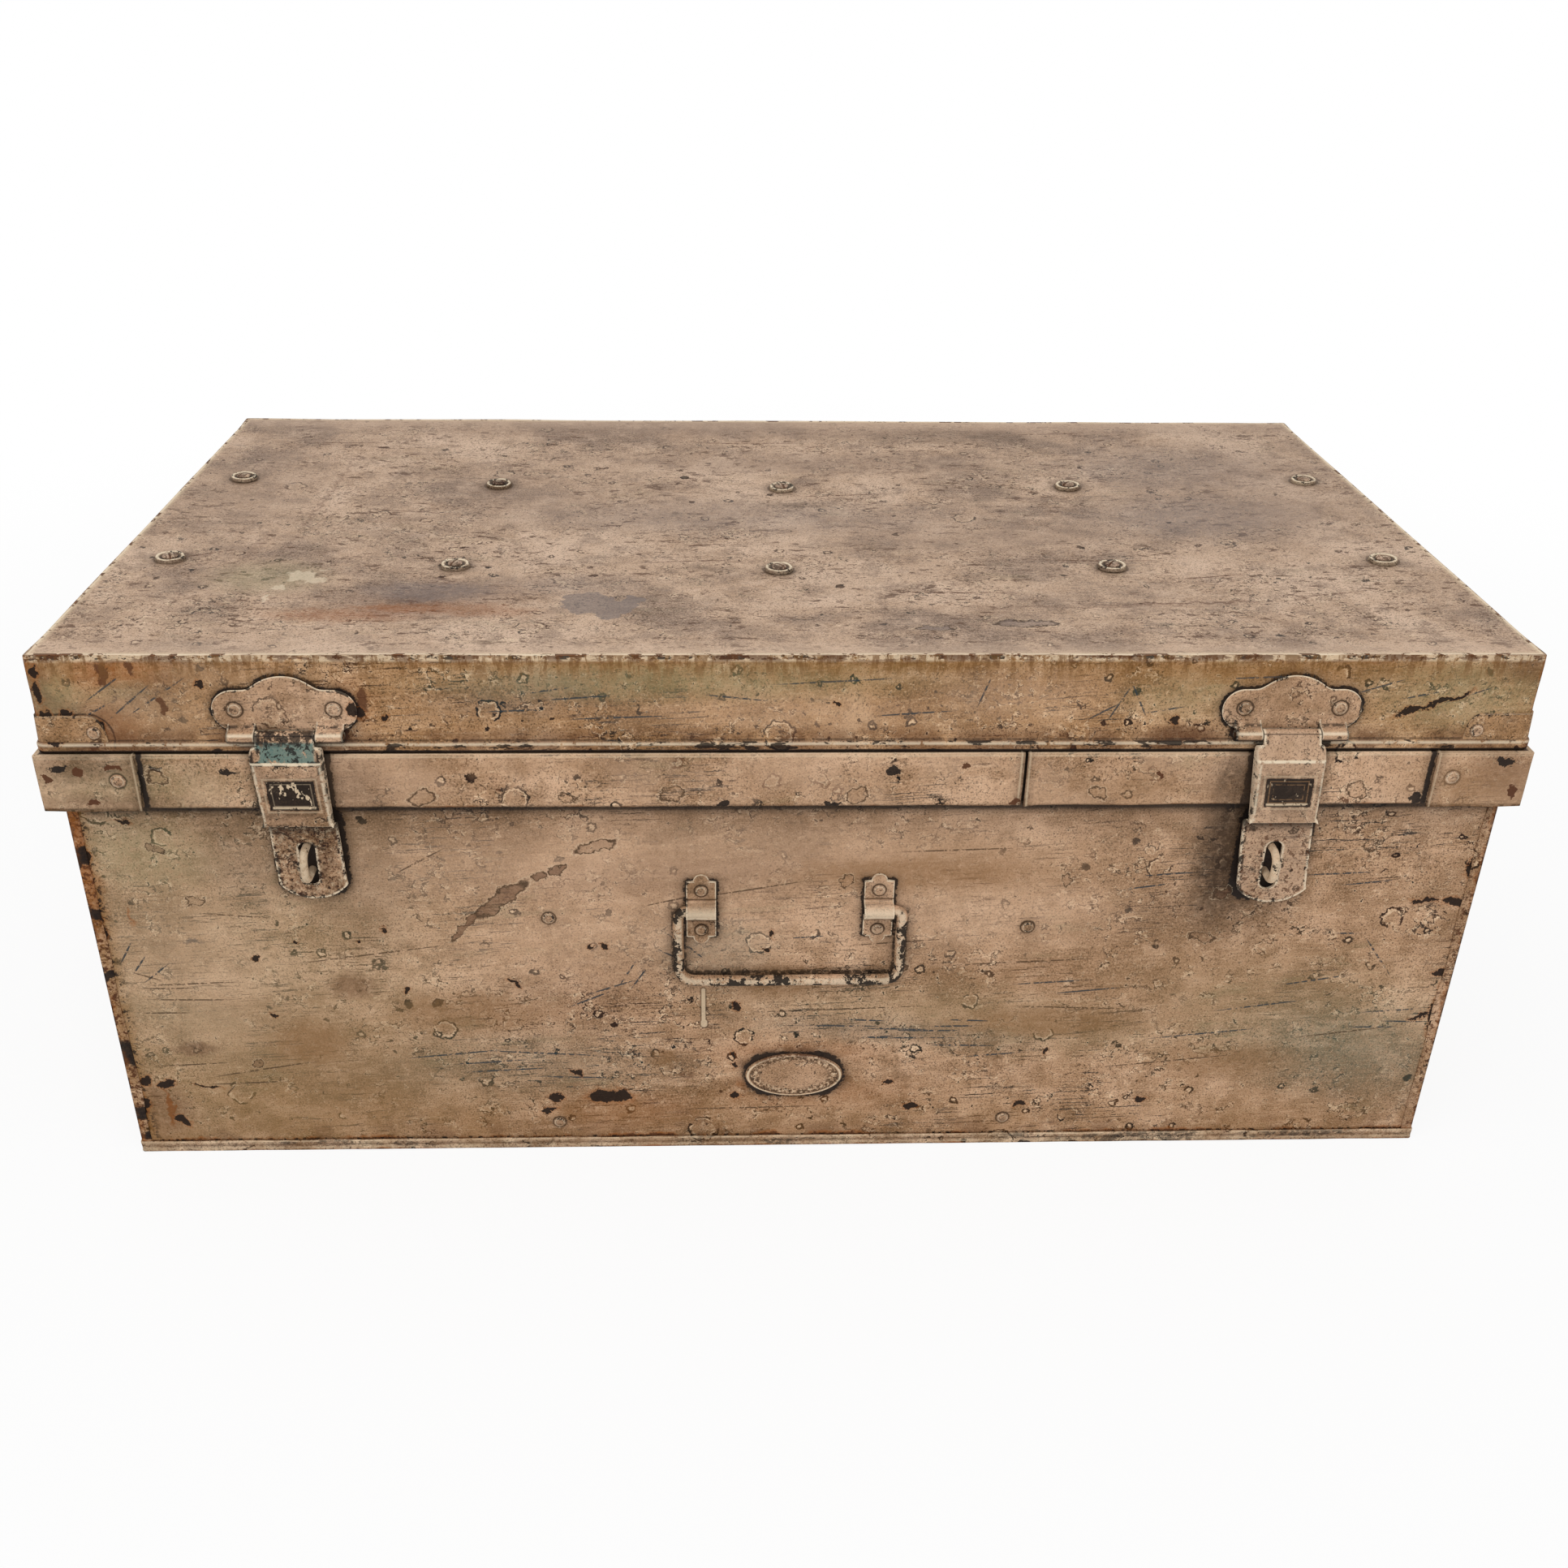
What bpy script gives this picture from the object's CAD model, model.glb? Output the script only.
"""Dresses a painted sheet-steel deed box: its sheets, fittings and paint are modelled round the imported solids.

Shapes are worked out in millimetres and put into the meshes in metres. X runs along the front, Y to the
back, Z up. A side's own coordinates are the place along it, the distance out from the middle, and the height.
"""

import math
from functools import reduce

import bmesh
import bpy
import numpy as np
from mathutils import Matrix, Vector


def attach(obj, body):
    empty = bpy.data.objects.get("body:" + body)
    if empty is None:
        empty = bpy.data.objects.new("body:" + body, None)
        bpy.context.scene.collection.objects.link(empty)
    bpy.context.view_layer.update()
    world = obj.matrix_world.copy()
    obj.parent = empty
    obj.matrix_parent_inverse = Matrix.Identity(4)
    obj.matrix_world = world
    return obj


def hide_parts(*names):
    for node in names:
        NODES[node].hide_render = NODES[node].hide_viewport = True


bl_info = {
    "name": "Deed box dressing",
    "version": (1, 0, 0),
    "blender": (4, 5, 0),
    "location": "View3D > Sidebar > Deed box",
    "description": "Sheets, fittings and aged paint of a sheet-steel deed box",
    "category": "Object",
}

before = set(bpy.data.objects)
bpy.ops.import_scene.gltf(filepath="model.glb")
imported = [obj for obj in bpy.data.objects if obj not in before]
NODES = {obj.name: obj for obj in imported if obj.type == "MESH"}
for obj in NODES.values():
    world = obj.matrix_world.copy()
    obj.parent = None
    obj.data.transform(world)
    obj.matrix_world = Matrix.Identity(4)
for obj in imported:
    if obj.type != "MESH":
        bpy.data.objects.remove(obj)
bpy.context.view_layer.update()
MM = 0.001

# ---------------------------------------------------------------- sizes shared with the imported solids, in mm
LID_X, LID_Y, LID_TOP, LID_FOOT = 381.2, 204.5, 322.5, 269.0
LID_FLARE = 2.2
FOLD = 0.6  # radius of the fold round the lid's top
SHEET = 0.8
BEAD_TOP, BEAD_PROUD = 275.2, 1.5
WALL_X, WALL_Y, WALL_TOP = 378.5, 203.0, 290.0
BAND_X, BAND_Y, BAND_TOP, BAND_FOOT = 385.6, 209.5, 268.7, 237.3
BAND_SPLIT = 120.0
SCREW_ROW = 72.0
SCREWS = [(x, -SCREW_ROW) for x in (-351, -190, -4, 190, 349)] + [(x, SCREW_ROW) for x in (-348, -183, 3, 193, 351)]
HASP_AXIS = (211.0977, 280.0)  # out, height
HASPS = {
    "left": dict(x=-257.3, foot=-254.6, tongue=17.8, bottom=181.0, slot=(189.4, 216.3), staple=(-255.8, 204.8)),
    "right": dict(x=255.3, foot=262.3, tongue=18.9, bottom=175.2, slot=(183.9, 214.4), staple=(259.2, 201.6)),
}
BRACKETS = {"left": -48.8, "right": 48.2}
HANDLE_AXIS = (206.65, 169.5)
BADGE, BADGE_HALF = (4.3, 53.0), (28.2, 15.1)
WASHER = 8.3  # radius
PLATE_HEIGHT, PLATE_HALF, PLATE_RIVET = 293.5, 36.3, 24.7
EAR = (15.1, 29.2)  # from the hasp plate's middle, inner and outer end
CORNER_RIVET = (345.5, 169.0, 254.4)  # along the front, along an end, height
BRACKET_RIVETS = (181.6, 156.0)
STRAP_RIVETS = ((-132.1, 163.6), (131.8, 155.8))
FLOOR_RIVETS = ((-133.1, 18.7), (129.3, 18.7))
CORNERS = ((-1, -1, "front_left"), (1, -1, "front_right"), (-1, 1, "back_left"), (1, 1, "back_right"))


# ---------------------------------------------------------------- settings
def linear(code):
    """The linear colour of a six-digit hex code."""
    parts = [int(code[i : i + 2], 16) / 255 for i in (0, 2, 4)]
    return [p / 12.92 if p <= 0.04045 else ((p + 0.055) / 1.055) ** 2.4 for p in parts]


def colour_setting(label, text, code):
    return bpy.props.FloatVectorProperty(
        name=label, description=text, subtype="COLOR", size=3, min=0, max=1, default=linear(code)
    )


def number_setting(label, text, default, low=0.0, high=1000.0):
    return bpy.props.FloatProperty(name=label, description=text, default=default, min=low, max=high)


class DeedBoxColours(bpy.types.PropertyGroup):
    """Colours of the paint, the dirt and what shows through."""

    body: colour_setting("Body paint", "Main tone of the body's front", "b79170")
    body_light: colour_setting("Body paint, light", "Paler patches of the body", "c8a587")
    body_dark: colour_setting("Body paint, dark", "Browner patches of the body", "9b7653")
    lid: colour_setting("Lid wall paint", "Main tone of the lid's walls", "ad835a")
    lid_light: colour_setting("Lid wall paint, light", "Pinker patches of the lid's walls", "b99674")
    lid_dark: colour_setting("Lid wall paint, dark", "Browner patches of the lid's walls", "92693f")
    ochre: colour_setting("Ochre", "Yellow-brown veil below the lid's fold", "8a6230")
    pale: colour_setting("Pale cream", "Lightest paint on fittings and chips", "e6d4b8")
    top: colour_setting("Top paint", "Main tone of the lid's top", "bd9f85")
    top_light: colour_setting("Top paint, light", "Paler patches of the top", "ccb098")
    top_dark: colour_setting("Top paint, dark", "Greyer patches of the top", "927a68")
    cream: colour_setting("Cream", "Raised lips and rubbed edges of the paint", "dcc4a4")
    grime: colour_setting("Grime", "Old dirt in corners and along edges", "43301f")
    black: colour_setting("Chip", "Bare blackened steel in chips", "1b1411")
    rust: colour_setting("Rust", "Bright rust and its stains", "93531b")
    rust_dark: colour_setting("Dark rust", "Old brown rust", "54301b")
    sea: colour_setting("Old coat", "Blue-green coat under the top paint", "56746d")
    ink: colour_setting("Ink streak", "Dark blue-grey brush streaks", "2b363c")
    olive: colour_setting("Olive", "Grey-green veil", "87835f")
    lilac: colour_setting("Lilac stain", "Grey-lilac stains on the top", "756964")
    mottle: colour_setting("Mottle", "Warm brown blotches in the paint", "86603a")
    inner: colour_setting("Inner paint", "Dull paint inside", "7d6650")
    wood: colour_setting("Wood", "Sawn battens", "8c6a44")


class DeedBoxSizes(bpy.types.PropertyGroup):
    """Sizes that the sheets and their wear take."""

    dish: number_setting("Dish", "Sag of the lid's top at its middle, in millimetres", 8.2)
    ripple: number_setting("Ripple", "Unevenness of the flat sheets, in millimetres", 0.22)
    dents: number_setting("Dents", "Unevenness of the fittings, in millimetres", 0.12)
    relief: number_setting("Paint relief", "Strength of the paint's fine relief", 0.55, 0, 4)


class DeedBoxStage(bpy.types.PropertyGroup):
    """Lamps, backdrop and camera."""

    lamp: bpy.props.FloatProperty(
        name="Key lamp", description="Power of the soft lamp above", default=17.0, unit="POWER",
    )
    fill: bpy.props.FloatProperty(
        name="Fill lamp", description="Power of the soft lamp in front", default=7.0, unit="POWER",
    )
    sky: number_setting("Sky", "Strength of the even light from all round", 0.62)
    lens: number_setting("Lens", "Focal length for a 36 mm wide sensor, in millimetres", 35.34)


def settings():
    scene = bpy.context.scene
    return scene.deed_colours, scene.deed_sizes, scene.deed_stage


# ---------------------------------------------------------------- numbers and meshes
def ripple(a, b, seed, size):
    """Gentle unevenness, near -1 to 1: the sum of eight sine waves over two coordinates, each with its own
    direction, phase and a wavelength near size."""
    draw = np.random.default_rng(seed)
    turn, phase = draw.uniform(0, math.pi, 8), draw.uniform(0, 2 * math.pi, 8)
    wave = 2 * math.pi / (size * draw.uniform(0.6, 1.7, 8))
    a, b = np.broadcast_arrays(np.asarray(a, float), np.asarray(b, float))
    angle = np.multiply.outer(a, np.cos(turn) * wave) + np.multiply.outer(b, np.sin(turn) * wave) + phase
    return np.sin(angle).sum(-1) / 4


def soft_step(value, low, high):
    """0 below low, 1 above high and the cubic 3t^2 - 2t^3 between."""
    t = np.clip((np.asarray(value, float) - low) / (high - low), 0, 1)
    return t * t * (3 - 2 * t)


def grid_quads(rows, columns, start=0, wrap=False):
    """Quads of a numbered grid, row after row; wrap joins each row's end to its start."""
    row = np.arange(rows - 1)[:, None] * columns + start
    column = np.arange(columns if wrap else columns - 1)[None, :]
    following = (column + 1) % columns
    corners = (row + column, row + following, row + following + columns, row + column + columns)
    return np.stack(corners, -1).reshape(-1, 4)


def bridge(first, second):
    """Quads between two closed loops of as many point numbers."""
    return np.stack([first, np.roll(first, -1), np.roll(second, -1), second], -1)


def on_side(side, along, out, height):
    """Points of a side from the place along it, the distance out and the height."""
    along, out, height = np.broadcast_arrays(
        np.asarray(along, float), np.asarray(out, float), np.asarray(height, float)
    )
    x, y = {"front": (along, -out), "back": (along, out), "left": (-out, along), "right": (out, along)}[side]
    return np.stack([x, y, height], -1)


def rounded_path(corners, radii, step=0.8):
    """A polyline whose corners are arcs of the given radii, as points no more than step apart."""
    corners = [np.asarray(c, float) for c in corners]
    pieces, last = [], corners[0]
    for before, corner, after, radius in zip(corners, corners[1:], corners[2:], radii):
        to_before = (before - corner) / np.linalg.norm(before - corner)
        to_after = (after - corner) / np.linalg.norm(after - corner)
        half = math.acos(float(np.clip(to_before @ to_after, -1, 1))) / 2
        start = corner + to_before * radius / math.tan(half)
        middle = corner + (to_before + to_after) / np.linalg.norm(to_before + to_after) * radius / math.sin(half)
        sweep = math.pi - 2 * half
        turn = np.linspace(0, sweep, max(3, int(radius * sweep / step * 1.5) + 2))[:, None]
        spoke = start - middle
        pieces.append(straight_run(last, start, step)[:-1])
        pieces.append(middle + spoke * np.cos(turn) - to_before * radius * np.sin(turn))
        last = pieces[-1][-1]
        pieces[-1] = pieces[-1][:-1]
    pieces.append(straight_run(last, corners[-1], step))
    return np.concatenate(pieces)


def straight_run(start, end, step):
    """Evenly spread points of a straight line, both ends among them."""
    count = max(2, int(np.linalg.norm(end - start) / step) + 1)
    return start + (end - start) * np.linspace(0, 1, count)[:, None]


def make_piece(
    name, points, faces, body, slot, materials, replaced=(), thickness=0.0, offset=-1.0, bevel=0.0,
    middle=None, merge=False, closed=False, sharp=38.0, zones=None, values=None,
):
    """Put points and quads into a named mesh and give it its body, slot, materials and finishing modifiers.

    middle is a point that the faces have to look away from. A closed shell has its normals worked out anew."""
    mesh = bpy.data.meshes.new(name)
    flat = np.asarray(points, float).reshape(-1, 3)
    mesh.from_pydata((flat * MM).tolist(), [], faces if isinstance(faces, list) else faces.tolist())
    for key, value in (values or {}).items():
        mesh.attributes.new(key, "FLOAT", "POINT").data.foreach_set("value", np.ravel(value).astype(np.float32))
    for material in materials:
        mesh.materials.append(material)
    if zones is not None:
        mesh.polygons.foreach_set("material_index", np.asarray(zones, np.int32))
    work = bmesh.new()
    work.from_mesh(mesh)
    if merge:
        bmesh.ops.remove_doubles(work, verts=work.verts, dist=2e-6)
        bmesh.ops.dissolve_degenerate(work, edges=work.edges, dist=1e-6)
    if closed:
        bmesh.ops.recalc_face_normals(work, faces=work.faces)
    elif middle is not None:
        centre = Vector(middle) * MM
        votes = sum(
            (1 if f.normal.dot(f.calc_center_median() - centre) > 0 else -1) * f.calc_area() for f in work.faces
        )
        if votes < 0:
            bmesh.ops.reverse_faces(work, faces=work.faces)
    work.to_mesh(mesh)
    work.free()
    mesh.polygons.foreach_set("use_smooth", np.ones(len(mesh.polygons), bool))
    mesh.set_sharp_from_angle(angle=math.radians(sharp))
    piece = bpy.data.objects.new(name, mesh)
    bpy.context.scene.collection.objects.link(piece)
    if thickness:
        wall = piece.modifiers.new("Sheet", "SOLIDIFY")
        wall.thickness, wall.offset, wall.use_even_offset = thickness * MM, offset, True
    if bevel:
        edge = piece.modifiers.new("Edge", "BEVEL")
        edge.width, edge.segments, edge.limit_method = bevel * MM, 2, "ANGLE"
        edge.angle_limit, edge.harden_normals = math.radians(50), True
    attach(piece, body)
    if replaced:
        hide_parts(*replaced)
    return piece


def make_sheet(name, grid, body, slot, material, **more):
    """A piece from one grid of points, its faces looking away from the box's middle unless told otherwise."""
    rows, columns = grid.shape[:2]
    more.setdefault("middle", (0, 0, 150))
    return make_piece(name, grid, grid_quads(rows, columns), body, slot, [material], **more)


def tube_outside(path, middle, across, sides):
    """How far each point of a tube's rings looks away from the middle of its bend, from -1 to 1."""
    path, across = np.asarray(path, float), np.asarray(across, float)
    along = np.gradient(path, axis=0)
    along /= np.linalg.norm(along, axis=1)[:, None]
    second = np.cross(along, across)
    away = np.sign(((path - middle) * second).sum(1))
    turn = np.linspace(0, 2 * math.pi, sides, endpoint=False)
    return away[:, None] * np.sin(turn)


def tube(path, across, radius, sides=18):
    """A round bar along a flat path: rings of points round it, each at the path's point plus the radius times
    the cosine of the turn along the bend plane's normal and its sine square to the path. Its ends are closed."""
    path, across = np.asarray(path, float), np.asarray(across, float)
    along = np.gradient(path, axis=0)
    along /= np.linalg.norm(along, axis=1)[:, None]
    second = np.cross(along, across)
    turn = np.linspace(0, 2 * math.pi, sides, endpoint=False)
    radius = np.broadcast_to(np.asarray(radius, float), len(path))[:, None, None]
    spokes = across * np.cos(turn)[None, :, None] + second[:, None, :] * np.sin(turn)[None, :, None]
    rings = (path[:, None, :] + radius * spokes).reshape(-1, 3)
    points = np.concatenate([rings, path[:1], path[-1:]])
    faces = grid_quads(len(path), sides, wrap=True).tolist()
    ends = []
    for ring, tip in ((0, len(points) - 2), (len(path) - 1, len(points) - 1)):
        loop = ring * sides + np.arange(sides)
        ends += np.stack([loop, np.roll(loop, -1), np.full(sides, tip)], -1).tolist()
    return points, faces + ends


def turned(profile, places, sides=28):
    """Copies of one turned shape. The profile gives radius and height; each place gives an origin and a normal.
    Every point is the origin plus the radius times a spoke square to the normal plus the height along it."""
    profile = np.asarray(profile, float)
    turn = np.linspace(0, 2 * math.pi, sides, endpoint=False)
    shape = np.stack(
        [
            np.multiply.outer(profile[:, 0], np.cos(turn)),
            np.multiply.outer(profile[:, 0], np.sin(turn)),
            np.broadcast_to(profile[:, 1:], (len(profile), sides)),
        ],
        -1,
    ).reshape(-1, 3)
    quads = grid_quads(len(profile), sides, wrap=True)
    points, faces = [], []
    for origin, normal in places:
        normal = np.asarray(normal, float) / np.linalg.norm(normal)
        helper = np.array([0, 0, 1.0]) if abs(normal[2]) < 0.9 else np.array([1.0, 0, 0])
        first = np.cross(helper, normal)
        first /= np.linalg.norm(first)
        axes = np.stack([first, np.cross(normal, first), normal])
        faces.append(quads + len(points) * len(shape))
        points.append(np.asarray(origin, float) + shape @ axes)
    return np.concatenate(points), np.concatenate(faces)


def dome(radius, height, grip, tail=2.6, flat=0.25):
    """Profile of a round rivet: a dome whose height falls with the square of the radius to a low shoulder, the
    hidden shank, and a small flat tail at the grip's far end."""
    r = np.linspace(0, 1, 9) ** 0.8
    head = np.stack([radius * r, height * (flat + (1 - flat) * (1 - r**2.4))], -1)
    rest = [(radius * 1.02, height * 0.1), (radius * 0.97, -0.15), (1.4, -0.2), (1.4, -grip), (tail, -grip)]
    return np.concatenate([head, rest, [(tail, -grip - 0.8), (0, -grip - 0.9)]])


# ---------------------------------------------------------------- node trees
class Net:
    """Adds shader nodes to a tree. Each call gives the new node's output socket."""

    def __init__(self, tree):
        self.tree = tree

    def put(self, socket, value):
        if isinstance(value, bpy.types.NodeSocket):
            self.tree.links.new(value, socket)
        elif value is not None:
            if hasattr(socket.default_value, "__len__") and len(socket.default_value) == 4:
                value = (*list(value)[:3], 1.0)
            socket.default_value = value

    def node(self, kind, inputs, out=0, **options):
        node = self.tree.nodes.new(kind)
        for key, value in options.items():
            setattr(node, key, value)
        for key, value in inputs.items():
            self.put(node.inputs[key], value)
        return node.outputs[out] if out is not None else node.outputs

    def math(self, operation, a, b=None, clamp=False):
        return self.node("ShaderNodeMath", {0: a, 1: b}, operation=operation, use_clamp=clamp)

    def plus(self, a, b):
        return self.math("ADD", a, b)

    def less(self, a, b):
        return self.math("SUBTRACT", a, b)

    def size(self, value):
        return self.math("ABSOLUTE", value)

    def times(self, *values):
        return reduce(lambda a, b: self.math("MULTIPLY", a, b), values)

    def most(self, *values):
        return reduce(lambda a, b: self.math("MAXIMUM", a, b), values)

    def least(self, *values):
        return reduce(lambda a, b: self.math("MINIMUM", a, b), values)

    def vector(self, operation, a, b=None, out=0):
        key = 3 if operation == "SCALE" else 1
        return self.node("ShaderNodeVectorMath", {0: a, key: b}, out, operation=operation)

    def noise(self, place, scale, detail=2.0, rough=0.5, warp=0.0, out=0):
        values = {"Vector": place, "Scale": scale, "Detail": detail, "Roughness": rough, "Distortion": warp}
        return self.node("ShaderNodeTexNoise", values, out)

    def ramp(self, value, low, high, first=0.0, last=1.0):
        """A smooth step from first to last as the value goes from low to high."""
        values = {"Value": value, "From Min": low, "From Max": high, "To Min": first, "To Max": last}
        return self.node("ShaderNodeMapRange", values, interpolation_type="SMOOTHSTEP")

    def fade(self, value, low, high):
        """A smooth step down from 1 to 0."""
        return self.ramp(value, low, high, 1, 0)

    def near(self, value, level, width):
        """1 where the value is at the level, fading to 0 at the width."""
        return self.fade(self.size(self.less(value, level)), 0, width)

    def mix(self, factor, a, b):
        return self.node("ShaderNodeMix", {0: factor, 6: a, 7: b}, 2, data_type="RGBA")

    def principled(self, **values):
        """Close a material: a principled shader with the given inputs, named without their spaces."""
        shader = self.tree.nodes.new("ShaderNodeBsdfPrincipled")
        for key, value in values.items():
            self.put(shader.inputs[key.replace("_", " ")], value)
        self.node("ShaderNodeOutputMaterial", {0: shader.outputs[0]}, None)

    def attribute(self, name):
        return self.node("ShaderNodeAttribute", {}, "Fac", attribute_name=name)

    def group(self, tree, **values):
        node = self.tree.nodes.new("ShaderNodeGroup")
        node.node_tree = tree
        for key, value in values.items():
            self.put(node.inputs[key], value)
        return node.outputs


def fresh_net(owner):
    """The emptied node tree of a material or world, ready to fill."""
    owner.use_nodes = True
    owner.node_tree.nodes.clear()
    return Net(owner.node_tree)


def new_group(name, inputs, outputs):
    """An empty node group with named sockets, and the builder and input sockets to fill it with."""
    tree = bpy.data.node_groups.new(name, "ShaderNodeTree")
    kinds = {"f": "NodeSocketFloat", "v": "NodeSocketVector", "c": "NodeSocketColor"}
    for label, kind, default in inputs:
        socket = tree.interface.new_socket(label, in_out="INPUT", socket_type=kinds[kind])
        if default is not None:
            socket.default_value = (*list(default)[:3], 1.0) if kind == "c" else default
    for label, kind in outputs:
        tree.interface.new_socket(label, in_out="OUTPUT", socket_type=kinds[kind])
    entry = tree.nodes.new("NodeGroupInput").outputs
    leave = tree.nodes.new("NodeGroupOutput").inputs
    return tree, Net(tree), entry, leave


def build_mark():
    """Reach of one placed mark: the place less the centre, turned, divided by the two radii, as a length. It is
    0 at the middle and 1 on the border."""
    tree, net, given, result = new_group(
        "placed_mark", [("Place", "v", None), ("Centre", "v", None), ("Radii", "v", (10, 10, 10)), ("Turn", "f", 0)],
        [("Reach", "f")],
    )
    off = net.vector("SUBTRACT", given["Place"], given["Centre"])
    off = net.node("ShaderNodeVectorRotate", {"Vector": off, "Angle": given["Turn"]}, rotation_type="Z_AXIS")
    net.put(result[0], net.vector("LENGTH", net.vector("DIVIDE", off, given["Radii"]), out=1))
    return tree


def build_outline():
    """Signed distance in mm from a rounded box: the place less the centre, folded into one quarter, less the half
    size shrunk by the corner radius. The length of the positive part, plus the larger coordinate where both are
    negative, less the radius."""
    tree, net, given, result = new_group(
        "outline_distance",
        [("Place", "v", None), ("Centre", "v", None), ("Core", "v", (10, 10, 0)), ("Radius", "f", 2)],
        [("Distance", "f")],
    )
    off = net.vector("ABSOLUTE", net.vector("SUBTRACT", given["Place"], given["Centre"]))
    over = net.vector("SUBTRACT", off, given["Core"])
    outside = net.vector("LENGTH", net.vector("MAXIMUM", over, (0, 0, 0)), out=1)
    parts = net.node("ShaderNodeSeparateXYZ", {0: over}, None)
    inside = net.least(net.most(parts[0], parts[1]), 0)
    net.put(result[0], net.less(net.plus(outside, inside), given["Radius"]))
    return tree


def build_streaks():
    """Brush streaks: noise stretched along X, its ridges sharpened, kept only inside cloud-shaped clusters."""
    tree, net, given, result = new_group(
        "brush_streaks",
        [("Place", "v", None), ("Along", "f", 0.02), ("Across", "f", 0.7), ("Level", "f", 0.58), ("Gate", "f", 0.5)],
        [("Mask", "f"), ("Grain", "f")],
    )
    stretch = net.node("ShaderNodeCombineXYZ", {0: given["Along"], 1: given["Across"], 2: given["Across"]})
    grain = net.noise(net.vector("MULTIPLY", given["Place"], stretch), 1, 2, 0.6)
    cluster = net.noise(given["Place"], 0.016, 3, 0.65)
    gate = net.ramp(cluster, net.less(given["Gate"], 0.04), net.plus(given["Gate"], 0.05))
    lines = net.ramp(grain, given["Level"], net.plus(given["Level"], 0.045))
    net.put(result[0], net.times(lines, gate))
    net.put(result[1], grain)
    return tree


def build_rings():
    """Blisters: the distance to the nearest of scattered points, less a radius of each point's own, is 0 on a
    ring. Share picks how many points have one; a few of those are broken open down to the steel."""
    tree, net, given, result = new_group(
        "blister_rings",
        [
            ("Place", "v", None), ("Spacing", "f", 20), ("Least", "f", 1), ("Most", "f", 3), ("Share", "f", 0.5),
            ("Width", "f", 0.6), ("Open", "f", 0.1),
        ],
        [("Line", "f"), ("Lip", "f"), ("Hole", "f")],
    )
    scale = net.math("DIVIDE", 1, given["Spacing"])
    cell = net.node("ShaderNodeTexVoronoi", {"Vector": given["Place"], "Scale": scale}, None)
    draw = net.node("ShaderNodeSeparateColor", {0: cell["Color"]}, None)
    radius = net.node("ShaderNodeMapRange", {"Value": draw[0], "To Min": given["Least"], "To Max": given["Most"]})
    gap = net.less(net.times(cell["Distance"], given["Spacing"]), radius)
    chosen = net.math("LESS_THAN", draw[1], given["Share"])
    broken = net.ramp(net.noise(given["Place"], 0.12, 1), 0.4, 0.47)
    line = net.times(net.fade(net.size(gap), net.times(given["Width"], 0.35), given["Width"]), chosen, broken)
    shifted = net.plus(gap, net.times(given["Width"], 1.7))
    lip = net.times(net.fade(net.size(shifted), 0, given["Width"]), chosen, broken)
    opened = net.math("LESS_THAN", draw[2], given["Open"])
    net.put(result[0], line)
    net.put(result[1], lip)
    net.put(result[2], net.times(net.ramp(gap, 0.25, -0.1), chosen, opened))
    return tree


def build_wrinkles():
    """Short curved wrinkles: pieces of the curves on which a noise field has its mean value."""
    tree, net, given, result = new_group(
        "paint_wrinkles",
        [("Place", "v", None), ("Scale", "f", 0.17), ("Width", "f", 0.03), ("Gate", "f", 0.52)],
        [("Line", "f"), ("Lip", "f")],
    )
    squashed = net.vector("MULTIPLY", given["Place"], (0.75, 1.25, 1.25))
    gap = net.less(net.noise(squashed, given["Scale"], 2, 0.55), 0.5)
    gate = net.ramp(net.noise(given["Place"], 0.11, 3, 0.7), given["Gate"], net.plus(given["Gate"], 0.04))
    net.put(result[0], net.times(net.fade(net.size(gap), 0, given["Width"]), gate))
    shifted = net.less(gap, net.times(given["Width"], 1.3))
    net.put(result[1], net.times(net.fade(net.size(shifted), 0, given["Width"]), gate))
    return tree


def build_chips():
    """Chips through the paint: noise above a level, with a pale lip just below the level."""
    tree, net, given, result = new_group(
        "paint_chips", [("Place", "v", None), ("Scale", "f", 0.25), ("Level", "f", 0.7)], [("Chip", "f"), ("Lip", "f")]
    )
    field = net.noise(given["Place"], given["Scale"], 3, 0.65)
    chip = net.ramp(field, given["Level"], net.plus(given["Level"], 0.02))
    lip = net.ramp(field, net.less(given["Level"], 0.06), net.less(given["Level"], 0.015))
    net.put(result[0], chip)
    net.put(result[1], net.times(lip, net.less(1, chip)))
    return tree


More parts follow.
